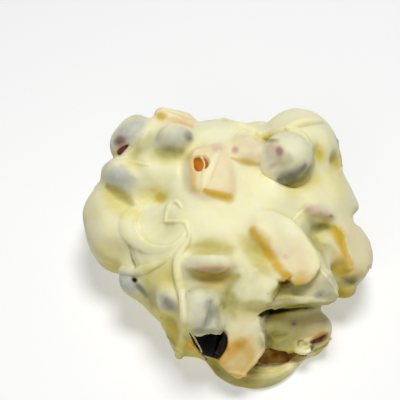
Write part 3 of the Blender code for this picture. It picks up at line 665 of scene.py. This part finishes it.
def sight(spot):
    """The eye, and the way it looks at a pixel or, from beside, at a spot on the far side."""
    right, up = view_axes(spot)
    ahead = right.cross(up) * -1
    if isinstance(spot, At):
        return Vector((0, 0, spot.height * MM)) - ahead * VIEW_DISTANCE, ahead
    eye = LOOKED_AT - ahead * VIEW_DISTANCE
    across = (spot[0] - MIDDLE_PIXEL.x) * PIXEL
    over = (MIDDLE_PIXEL.y - spot[1]) * PIXEL
    target = LOOKED_AT + right * across + up * over
    return eye, (target - eye).normalized()


def seat(tree, spot):
    """The point of a surface that is seen at a spot, or else the nearest to its sight line."""
    eye, look = sight(spot)
    found = tree.ray_cast(eye, look)[0]
    if found is None:
        steps = range(2 * SIGHT_STEPS)
        ray = [eye + look * VIEW_DISTANCE * step / SIGHT_STEPS for step in steps]
        found = min(ray, key=lambda point: tree.find_nearest(point)[3])
        found = tree.find_nearest(found)[0]
    return found


def seen_at(points):
    """The pixels at which the camera sees some points."""
    eye, _ = sight(MIDDLE_PIXEL)
    away = points - np.array(eye)
    depth = away @ -np.array(TO_EYE)
    across = away @ np.array(VIEW_RIGHT) * VIEW_DISTANCE / depth / PIXEL
    over = away @ np.array(VIEW_UP) * VIEW_DISTANCE / depth / PIXEL
    return np.stack((MIDDLE_PIXEL.x + across, MIDDLE_PIXEL.y - over), axis=1)


# Meshes, and their points as arrays.


def values_of(rows, name, width, kind=float):
    flat = np.empty(len(rows) * width, kind)
    rows.foreach_get(name, flat)
    return flat.reshape(-1, width)


def points_of(mesh):
    return values_of(mesh.vertices, "co", 3)


def normals_of(mesh):
    return values_of(mesh.vertex_normals, "vector", 3)


def edges_of(mesh):
    return values_of(mesh.edges, "vertices", 2, np.int32)


def move_points(mesh, points):
    mesh.vertices.foreach_set("co", points.ravel())
    mesh.update()


def relax(points, edges, rounds, amounts=(0.5,)):
    """Draws each row of values towards the mean of its neighbours'."""
    start, end = edges.T
    count = np.bincount(edges.ravel(), minlength=len(points))[:, None]
    for step in range(rounds):
        total = np.empty_like(points)
        for axis in range(points.shape[1]):
            total[:, axis] = np.bincount(start, points[end, axis], len(points))
            total[:, axis] += np.bincount(end, points[start, axis], len(points))
        points = points + (total / count - points) * amounts[step % len(amounts)]
    return points


def smooth(mesh, rounds, amounts=(0.5,)):
    move_points(mesh, relax(points_of(mesh), edges_of(mesh), rounds, amounts))


def opened(*meshes):
    """A working copy of some meshes together."""
    work = bmesh.new()
    for mesh in meshes:
        work.from_mesh(mesh)
    return work


def closed(work, name):
    """A mesh from a working copy, which then goes."""
    mesh = bpy.data.meshes.new(name)
    work.to_mesh(mesh)
    work.free()
    return mesh


def tree_of(mesh):
    work = opened(mesh)
    tree = BVHTree.FromBMesh(work)
    work.free()
    return tree


def new_object(name, data):
    obj = bpy.data.objects.new(name, data)
    bpy.context.scene.collection.objects.link(obj)
    return obj


def finished(obj):
    """The mesh that an object's modifiers make; the object then goes."""
    depsgraph = bpy.context.evaluated_depsgraph_get()
    mesh = bpy.data.meshes.new_from_object(obj.evaluated_get(depsgraph))
    bpy.data.objects.remove(obj)
    return mesh


def remeshed(meshes, voxel, name):
    """One even skin round all the meshes."""
    obj = new_object(name, closed(opened(*meshes), name))
    modifier = obj.modifiers.new("even", "REMESH")
    modifier.mode = "VOXEL"
    modifier.voxel_size = voxel
    modifier.use_smooth_shade = True
    return finished(obj)


def swollen(mesh, amount):
    copy = mesh.copy()
    move_points(copy, points_of(mesh) + normals_of(mesh) * amount)
    return copy


def refined(mesh, near):
    """The mesh with its faces at the marked points cut finer."""
    work = opened(mesh)
    faces = [face for face in work.faces if any(near[corner.index] for corner in face.verts)]
    edges = {edge.index: edge for face in faces for edge in face.edges}
    bmesh.ops.subdivide_edges(work, edges=list(edges.values()), cuts=1, use_grid_fill=True)
    finer = closed(work, mesh.name)
    finer.shade_smooth()
    return finer


def plate_mesh(name, plate, tree):
    """A flat piece whose face shows the given outline to the eye."""
    middle = seat(tree, plate.spot) + TO_EYE * plate.rise * MM
    facing = Vector(plate.facing).normalized()
    work = bmesh.new()
    corners = []
    for pixel in plate.outline:
        eye, look = sight(pixel)
        corners.append(work.verts.new(eye + look * (middle - eye).dot(facing) / look.dot(facing)))
    grown = bmesh.ops.extrude_face_region(work, geom=[work.faces.new(corners)])
    back = [part for part in grown["geom"] if isinstance(part, bmesh.types.BMVert)]
    bmesh.ops.translate(work, vec=-facing * plate.thickness * MM, verts=back)
    bmesh.ops.recalc_face_normals(work, faces=work.faces)
    bmesh.ops.bevel(
        work, geom=list(work.edges), offset=PLATE_BEVEL, segments=2, profile=0.5, affect="EDGES"
    )
    bmesh.ops.triangulate(work, faces=work.faces)
    return closed(work, name)


def carved(mesh, middle, radii):
    """The mesh with an egg shape cut out of it."""
    work = bmesh.new()
    bmesh.ops.create_icosphere(work, subdivisions=4, radius=1)
    bmesh.ops.scale(work, vec=radii, verts=work.verts)
    bmesh.ops.translate(work, vec=middle, verts=work.verts)
    cutter = new_object("cutter", closed(work, "cutter"))
    obj = new_object(mesh.name, mesh)
    modifier = obj.modifiers.new("carve", "BOOLEAN")
    modifier.operation = "DIFFERENCE"
    modifier.object = cutter
    modifier.solver = "MANIFOLD"
    rest = finished(obj)
    bpy.data.objects.remove(cutter)
    return rest


# Lines, openings and ovals on a surface.


def smooth_line(stations, steps=LINE_STEPS):
    """The stations with others between them, on a curve through them all."""
    curve = []
    for i in range(len(stations) - 1):
        before, start = stations[max(i - 1, 0)], stations[i]
        end, after = stations[i + 1], stations[min(i + 2, len(stations) - 1)]
        slope = end - before
        bend = 2 * before - 5 * start + 4 * end - after
        twist = 3 * start - before - 3 * end + after
        for step in range(steps):
            part = step / steps
            curve.append(0.5 * (2 * start + slope * part + bend * part**2 + twist * part**3))
    curve.append(stations[-1])
    return curve


def seated_line(tree, thread):
    """A line's points on the surface, with its half width at each."""
    curve = smooth_line([Vector(station) for station in thread.stations])
    spots = [At(x, y) if thread.far else (x, y) for x, y, _ in curve]
    widths = np.array([width for _, _, width in curve]) * MM
    return np.array([seat(tree, spot) for spot in spots]), widths


def within(points, low, high, reach):
    """Which points lie in a box that is wider by the reach on every side."""
    return ((points > low - reach) & (points < high + reach)).all(1)


def line_share(points, spots, radii):
    """How far each point is from a line, as a share of the line's half width there.

    Gives that half width too, and 1 on the line's right in the view and -1 on its left.
    """
    share = np.full(len(points), FAR_SHARE)
    width = np.zeros(len(points))
    side = np.ones(len(points))
    inside = within(points, spots.min(0), spots.max(0), radii.max() * LINE_REACH)
    near = points[inside]
    best, best_width, best_side = share[inside], width[inside], side[inside]
    for start, end, first, last in zip(spots[:-1], spots[1:], radii[:-1], radii[1:]):
        along = end - start
        part = np.clip((near - start) @ along / max(along @ along, 1e-12), 0, 1)
        radius = first + (last - first) * part
        away = near - start - part[:, None] * along
        distance = np.linalg.norm(away, axis=1) / radius
        closer = distance < best
        best[closer], best_width[closer] = distance[closer], radius[closer]
        best_side[closer] = -np.sign((np.cross(along, near - start) @ np.array(TO_EYE))[closer])
    share[inside], width[inside], side[inside] = best, best_width, best_side
    return share, width, side


def ridge(share, _side):
    """A ridge's height across its width, from 1 in the middle to 0 at its edge."""
    return np.clip(1 - share**2, 0, 1) ** RIDGE_POWER


def groove(share, side):
    return -ridge(share, side)


def ledge(share, side):
    """A ledge's height: highest just right of its line, and lowest just left of it."""
    fall = np.clip(1 - share, 0, 1) ** LEDGE_POWER
    return np.where(side > 0, fall, -LEDGE_FOOT * fall)


def outline_distance(points, outline):
    """How far inside an outline the camera sees some points, in pixels; outside it is negative."""
    pixels = seen_at(points)
    ring = [Vector(corner) for corner in outline]
    closed_ring = [ring[-1], *ring, ring[0], ring[1]]
    corners = np.array(smooth_line(closed_ring, RING_STEPS)[RING_STEPS:-RING_STEPS - 1])
    inside = np.zeros(len(pixels), bool)
    nearest = np.full(len(pixels), np.inf)
    for start, end in zip(corners, np.roll(corners, -1, axis=0)):
        along = end - start
        part = np.clip((pixels - start) @ along / (along @ along), 0, 1)
        away = pixels - start - part[:, None] * along
        nearest = np.minimum(nearest, np.linalg.norm(away, axis=1))
        crosses = (start[1] > pixels[:, 1]) != (end[1] > pixels[:, 1])
        with np.errstate(divide="ignore", invalid="ignore"):
            edge_x = start[0] + (pixels[:, 1] - start[1]) * along[0] / along[1]
        inside ^= crosses & (pixels[:, 0] < edge_x)
    return np.where(inside, nearest, -nearest)


def smoothstep(low, high, value):
    part = np.clip((value - low) / (high - low), 0, 1)
    return part * part * (3 - 2 * part)


def in_view(points, tree):
    """Which points the camera sees, with nothing in front of them."""
    eye, _ = sight(MIDDLE_PIXEL)
    seen = np.zeros(len(points), bool)
    for i, point in enumerate(points):
        toward = Vector(point) - eye
        hit = tree.ray_cast(eye, toward.normalized())[0]
        seen[i] = hit is not None and (hit - eye).length > toward.length - SIGHT_SLACK
    return seen


def opening_share(points, fruit_tree, coat_tree, outline):
    """How far the coat draws back at each point from a bare fruit, from 0 to 1."""
    deep = outline_distance(points, outline) * PIXEL
    share = smoothstep(-BARE_SOFTNESS, BARE_SOFTNESS, deep)
    candidates = np.flatnonzero(share > 0)
    near = np.array([fruit_tree.find_nearest(Vector(points[i]))[3] for i in candidates])
    share[candidates] *= 1 - smoothstep(*BARE_REACH, near)
    candidates = np.flatnonzero(share > 0)
    share[candidates] *= in_view(points[candidates], coat_tree)
    return share


def oval_share(points, tree, oval, fade_start, wobble=0):
    """How strongly an oval acts on each point: its amount in the middle, and 0 past its edge."""
    middle = seat(tree, oval.spot)
    _, look = sight(oval.spot)
    level, upright = view_axes(oval.spot)
    turn = math.radians(oval.angle)
    right = level * math.cos(turn) + upright * math.sin(turn)
    up = upright * math.cos(turn) - level * math.sin(turn)
    away = points - np.array(middle)
    across = away @ np.array(right) / (oval.size[0] * MM / 2)
    over = away @ np.array(up) / (oval.size[1] * MM / 2)
    deep = away @ np.array(look) / (OVAL_DEPTH + max(oval.size) * MM / 4)
    distance = np.sqrt(across**2 + over**2 + deep**2) + wobble
    return oval.amount * (1 - smoothstep(fade_start, FADE_END, distance))


def waves(points, scale):
    """An even unrest of about 1 to each side."""
    return np.array([noise.fractal(Vector(point) * scale, *WAVE_SHAPE) for point in points])


def painted_shade_share(mesh, tree):
    """How much of the sky each point doesn't see, from 0 to 1, which sets how much shade is painted into
    the coat's colour there.
    """
    points, outward = points_of(mesh), normals_of(mesh)
    chosen = np.arange(0, len(points), SHELTER_STRIDE)
    ways = np.random.default_rng(SHELTER_SEED).normal(size=(SHELTER_RAYS, 3))
    ways /= np.linalg.norm(ways, axis=1)[:, None]
    hidden = np.zeros(len(chosen))
    finder = KDTree(len(chosen))
    for row, i in enumerate(chosen):
        start = Vector(points[i] + outward[i] * SHELTER_START)
        for way in ways + outward[i] * SHELTER_LEAN:
            down = way[2] < 0
            hidden[row] += down or tree.ray_cast(start, Vector(way), SHELTER_REACH)[0] is not None
        finder.insert(start, row)
    finder.balance()
    hidden /= SHELTER_RAYS
    share = np.array([
        np.mean([hidden[row] for _, row, _ in finder.find_n(Vector(point), SHELTER_NEIGHBOURS)])
        for point in points
    ])
    return relax(share[:, None], edges_of(mesh), SHELTER_ROUNDS)[:, 0]


# Materials.

# The sockets of a mix node that mixes colours.
MIX_SHARE, MIX_FIRST, MIX_SECOND, MIX_RESULT = 0, 6, 7, 2


def new_material(name):
    material = bpy.data.materials.new(name)
    material.use_nodes = True
    return material, material.node_tree, material.node_tree.nodes["Principled BSDF"]


def set_inputs(tree, node, inputs):
    """Sets each input of a node to a value, or joins it to another node's output."""
    for name, value in inputs.items():
        if isinstance(value, bpy.types.NodeSocket):
            tree.links.new(value, node.inputs[name])
        else:
            node.inputs[name].default_value = value


def new_node(tree, kind, inputs):
    node = tree.nodes.new("ShaderNode" + kind)
    set_inputs(tree, node, inputs)
    return node


def noise_of(tree, scale, detail=3.0, distortion=0.0):
    place = tree.nodes.new("ShaderNodeTexCoord").outputs["Object"]
    inputs = {"Vector": place, "Scale": scale, "Detail": detail, "Distortion": distortion}
    return new_node(tree, "TexNoise", inputs).outputs["Fac"]


def mapped(tree, value, low, high, to_low=0.0, to_high=1.0):
    """The value with its range from low to high spread from to_low to to_high."""
    inputs = {
        "Value": value, "From Min": low, "From Max": high, "To Min": to_low, "To Max": to_high
    }
    return new_node(tree, "MapRange", inputs).outputs["Result"]


def speckle(tree, scale, low, high, to_low=0.0, to_high=1.0, detail=3.0):
    """A noise with its range from low to high spread from to_low to to_high."""
    return mapped(tree, noise_of(tree, scale, detail), low, high, to_low, to_high)


def math_of(tree, operation, first, second):
    node = new_node(tree, "Math", {0: first, 1: second})
    node.operation = operation
    return node.outputs["Value"]


def mixed(tree, share, first, second):
    node = tree.nodes.new("ShaderNodeMix")
    node.data_type = "RGBA"
    colours = [(*colour, 1) if isinstance(colour, tuple) else colour for colour in (first, second)]
    set_inputs(tree, node, {MIX_SHARE: share, MIX_FIRST: colours[0], MIX_SECOND: colours[1]})
    return node.outputs[MIX_RESULT]


def bumped(tree, height, distance):
    return new_node(tree, "Bump", {"Height": height, "Distance": distance}).outputs["Normal"]


def attribute(tree, name):
    node = tree.nodes.new("ShaderNodeAttribute")
    node.attribute_name = name
    return node.outputs["Fac"]


def coat_material():
    material, tree, shader = new_material("white_chocolate_coat")
    mottle = speckle(tree, 120, 0.35, 0.65, detail=4)
    colour = mixed(tree, mottle, COAT_PALE, COAT_WARM)
    # Painted shade: the coat turns darker and yellower where a point sees little sky.
    painted_shade_mix = mapped(tree, attribute(tree, "painted_shade_share"), 0.0, 0.7)
    colour = mixed(tree, painted_shade_mix, colour, COAT_PAINTED_SHADE)
    broken = speckle(tree, 500, 0.3, 0.6, 0.75, 1.0)
    for kind, tint in TINTS.items():
        share = math_of(tree, "MULTIPLY", attribute(tree, kind), broken)
        colour = mixed(tree, share, colour, tint)
    grain = math_of(tree, "ADD", noise_of(tree, 900, detail=4), noise_of(tree, 220, detail=2))
    set_inputs(tree, shader, {
        "Base Color": colour,
        "Roughness": speckle(tree, 300, 0.3, 0.7, 0.42, 0.55),
        "IOR": 1.45,
        "Specular IOR Level": 0.22,
        "Subsurface Weight": 0.8,
        "Subsurface Radius": (1.0, 0.92, 0.3),
        "Subsurface Scale": 0.9 * MM,
        "Normal": bumped(tree, grain, 0.06 * MM),
    })
    return material


def skin_material(name, dark, pale, roughness, wrinkle, inputs):
    """A wrinkled skin; the roughness is a lowest and a highest value."""
    material, tree, shader = new_material(name)
    set_inputs(tree, shader, {
        "Base Color": mixed(tree, speckle(tree, 500, 0.4, 0.7), dark, pale),
        "Roughness": speckle(tree, 700, 0.3, 0.7, *roughness),
        "Normal": bumped(tree, noise_of(tree, 420, detail=5, distortion=0.6), wrinkle),
        **inputs,
    })
    return material


def papaya_material(name, pale, deep):
    material, tree, shader = new_material(name)
    set_inputs(tree, shader, {
        "Base Color": mixed(tree, speckle(tree, 260, 0.35, 0.65, detail=4), pale, deep),
        "Roughness": speckle(tree, 600, 0.3, 0.7, 0.25, 0.45),
        "IOR": 1.45,
        "Specular IOR Level": 0.05,
        "Subsurface Weight": 0.1,
        "Subsurface Radius": (1.0, 0.6, 0.15),
        "Subsurface Scale": 1.5 * MM,
        "Normal": bumped(tree, noise_of(tree, 700, detail=4), 0.15 * MM),
    })
    return material


def fruit_materials():
    """The material of each kind of fruit."""
    raisin = skin_material(
        "raisin_skin", (0.0006, 0.0003, 0.0008), (0.004, 0.0012, 0.003), (0.15, 0.3), 0.5 * MM,
        {"Specular IOR Level": 0.02},
    )
    cranberry = skin_material(
        "cranberry_skin", (0.10, 0.012, 0.02), (0.25, 0.04, 0.04), (0.25, 0.45), 0.4 * MM,
        {"Subsurface Weight": 0.2, "Subsurface Scale": 1.0 * MM},
    )
    return {
        "raisin": raisin,
        "cranberry": cranberry,
        "coated_berry": cranberry,
        "papaya": papaya_material("papaya_flesh", (0.50, 0.15, 0.003), (0.20, 0.035, 0.001)),
        "dark_papaya": papaya_material(
            "dark_papaya_flesh", (0.34, 0.20, 0.035), (0.09, 0.026, 0.005)
        ),
    }


def floor_material():
    material, tree, shader = new_material("pale_floor")
    set_inputs(tree, shader, {
        "Base Color": mixed(tree, speckle(tree, 8, 0.3, 0.7), (0.60,) * 3, (0.62,) * 3),
        "Roughness": 0.8,
        "Emission Color": (1, 1, 1, 1),
        "Emission Strength": 0.4,
    })
    return material


# Pieces.


def build_fruit(name, kind):
    """A fruit of the frame with a fine skin."""
    mesh = remeshed([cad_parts[name].data], FRUIT_VOXEL, name + "_flesh")
    smooth(mesh, CUT_FRUIT_ROUNDS if kind in CUT_KINDS else ROUND_FRUIT_ROUNDS)
    return mesh


def build_heap(fruits):
    """The frame's chocolate, rounded, with its pockets closed."""
    heap = remeshed([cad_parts["white_chocolate"].data], HEAP_VOXEL, "heap")
    shape = relax(points_of(heap), edges_of(heap), HEAP_ROUNDS, HEAP_PULLS)
    move_points(heap, relax(shape, edges_of(heap), FINE_ROUNDS))
    fillings = [swollen(fruit, CLEARANCE + FILLING) for fruit in fruits.values()]
    heap = remeshed([heap, *fillings], HEAP_VOXEL, "heap")
    smooth(heap, FILLET_ROUNDS)
    return heap


def clad(heap, fruits):
    """The heap with a film over each fruit and its plates, carved under the corner."""
    tree = tree_of(heap)
    films = [swollen(fruit, FILM) for fruit in fruits.values()]
    plates = [plate_mesh(name, plate, tree) for name, plate in PLATES.items()]
    coat = remeshed([heap, *films, *plates], COAT_VOXEL, "coat")
    coat = remeshed([carved(coat, CARVED_MIDDLE, CARVED_RADII)], COAT_VOXEL, "coat")
    smooth(coat, COAT_ROUNDS)
    return coat


def raise_relief(coat):
    """Gives the coat its bulges and hollows, and softens it where it hides an edge."""
    points, edges, tree = points_of(coat), edges_of(coat), tree_of(coat)
    outward = relax(normals_of(coat), edges, RELIEF_ROUNDS)
    rise = sum(oval_share(points, tree, oval, 0) for oval in RELIEF.values()) * MM
    rise += WAVE_HEIGHT * waves(points, WAVE_SCALE)
    points = relax(points + outward * rise[:, None], edges, FINE_ROUNDS)
    calm = relax(points, edges, SOFTENING_ROUNDS)
    for oval in SOFTENED.values():
        share = oval_share(points, tree, oval, OVAL_FADE_START)[:, None]
        points = points + (calm - points) * share
    move_points(coat, points)


def seated_lines(coat):
    """Each thread's, crease's and ledge's form, amount, points on the coat and half widths."""
    tree = tree_of(coat)
    tables = ((ridge, THREADS), (groove, CREASES), (ledge, LEDGES))
    return [
        (form, thread.amount, *seated_line(tree, thread))
        for form, table in tables
        for thread in table.values()
    ]


def cut_finer(coat, lines):
    """The coat with finer faces near its lines and round its openings."""
    points = points_of(coat)
    near = np.zeros(len(points), bool)
    for _, _, spots, radii in lines:
        near |= line_share(points, spots, radii)[0] < FINER_SHARE
    for bare in BARE.values():
        near |= np.abs(outline_distance(points, bare.outline)) * PIXEL < FINER_RIM
    coat = refined(coat, near)
    smooth(coat, FINE_ROUNDS)
    return coat


def draw_lines(coat, lines, fruits):
    """Raises and sinks the coat along its lines, and opens it where a fruit is bare."""
    points, tree = points_of(coat), tree_of(coat)
    outward = relax(normals_of(coat), edges_of(coat), LINE_ROUNDS)
    rise = np.zeros(len(points))
    for form, amount, spots, radii in lines:
        share, width, side = line_share(points, spots, radii)
        rise += form(share, side) * width * amount
    for bare in BARE.values():
        share = opening_share(points, tree_of(fruits[bare.fruit]), tree, bare.outline)
        for strand in bare.strands:
            away, _, side = line_share(points, *seated_line(tree, strand))
            share *= 1 - ridge(away, side)
        rise = np.where(share > 0, rise * (1 - share) - share * BARE_DEPTH, rise)
    points = relax(points + outward * rise[:, None], edges_of(coat), 1, LAST_PULL)
    covered = np.ones(len(points), bool)
    for bare in BARE.values():
        covered &= outline_distance(points, bare.outline) < -BARE_SOFTNESS / PIXEL
    for fruit in fruits.values():
        keep_film(points, covered, fruit)
    points[:, 2] = np.maximum(points[:, 2], CAD_BOX[0].z)
    move_points(coat, points)


def keep_film(points, covered, fruit):
    """Lifts the covered points that have sunk into a fruit back out of it."""
    shape = points_of(fruit)
    tree = tree_of(fruit)
    sunk = covered & within(points, shape.min(0), shape.max(0), LEAST_FILM)
    for i in np.flatnonzero(sunk):
        foot, outward, _, _ = tree.find_nearest(Vector(points[i]))
        if (Vector(points[i]) - foot).dot(outward) < LEAST_FILM:
            points[i] = foot + outward * LEAST_FILM


def film_share(points, fruit):
    """How thin the coat is over a fruit at each point, from 0 to 1."""
    shape = points_of(fruit)
    tree = tree_of(fruit)
    inside = within(points, shape.min(0), shape.max(0), THICK_FILM)
    thickness = np.array([tree.find_nearest(Vector(point))[3] for point in points[inside]])
    share = np.zeros(len(points))
    share[inside] = 1 - smoothstep(THIN_FILM, THICK_FILM, thickness)
    return share


def paint(coat, fruits):
    """Marks where the fruit under the coat gives it a tint, where light and shade are painted into its
    colour, and how much each point is in shade.
    """
    points, tree = points_of(coat), tree_of(coat)
    wobble = waves(points, WOBBLE_SCALE) * WOBBLE
    shares = {kind: np.zeros(len(points)) for kind in TINTS}
    for kind, ovals in PATCHES.items():
        for oval in ovals:
            share = oval_share(points, tree, oval, OVAL_FADE_START, wobble)
            shares[kind] = np.maximum(shares[kind], share)
    for kind, threads in TINT_LINES.items():
        for thread in threads:
            away = line_share(points, *seated_line(tree, thread))[0] + wobble
            share = thread.amount * (1 - smoothstep(LINE_FADE_START, FADE_END, away))
            shares[kind] = np.maximum(shares[kind], share)
    for name, (_, kind, strength) in FRUITS.items():
        broken = 1 - FILM_BREAKS * np.clip(wobble * 2, 0, 1)
        share = film_share(points, fruits[name]) * strength * broken
        shares[kind] = np.maximum(shares[kind], share)
    # The share of painted shade at each point, from how little sky it sees.
    shares["painted_shade_share"] = painted_shade_share(coat, tree)
    for kind, share in shares.items():
        coat.attributes.new(kind, "FLOAT", "POINT").data.foreach_set("value", share)


def add_piece(name, mesh, material, slot, *nodes):
    mesh.materials.clear()
    mesh.materials.append(material)
    mesh.shade_smooth()
    piece = new_object(name, mesh)
    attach(piece, "root")
    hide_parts(*nodes)


# The studio and the camera.


def add_area_light(name, middle, size, power):
    data = bpy.data.lights.new(name, "AREA")
    data.shape = "DISK"
    data.size = size
    data.energy = power
    light = new_object(name, data)
    light.location = middle
    light.rotation_euler = (LOOKED_AT - Vector(middle)).to_track_quat("-Z", "Y").to_euler()


def add_studio():
    bpy.ops.mesh.primitive_plane_add(size=6, location=(0, 0, 0))
    floor = bpy.context.object
    floor.name = "floor"
    floor.data.materials.append(floor_material())
    add_area_light("key", middle=(0.04, 0.045, 0.48), size=0.20, power=1.82)
    add_area_light("fill", middle=(-0.12, -0.34, 0.26), size=0.24, power=0.38)
    world = bpy.data.worlds.new("studio")
    bpy.context.scene.world = world
    world.use_nodes = True
    background = world.node_tree.nodes["Background"]
    background.inputs["Color"].default_value = (1, 1, 1, 1)
    background.inputs["Strength"].default_value = 0.06
    bpy.context.scene.view_settings.view_transform = "Standard"


def add_camera():
    data = bpy.data.cameras.new("camera")
    data.sensor_width = SENSOR
    data.lens = SENSOR * VIEW_DISTANCE / (FRAME_PIXELS * PIXEL)
    data.clip_start = 0.01
    camera = new_object("camera", data)
    camera.location, look = sight(MIDDLE_PIXEL)
    camera.rotation_euler = look.to_track_quat("-Z", "Y").to_euler()
    bpy.context.scene.camera = camera


def main():
    add_camera()
    add_studio()
    fruits = {name: build_fruit(name, fruit.kind) for name, fruit in FRUITS.items()}
    coat = clad(build_heap(fruits), fruits)
    raise_relief(coat)
    lines = seated_lines(coat)
    coat = cut_finer(coat, lines)
    draw_lines(coat, lines, fruits)
    paint(coat, fruits)
    add_piece("coat", coat, coat_material(), "white_chocolate", "white_chocolate")
    materials = fruit_materials()
    for name, fruit in FRUITS.items():
        add_piece(name + "_flesh", fruits[name], materials[fruit.kind], fruit.kind, name)


main()
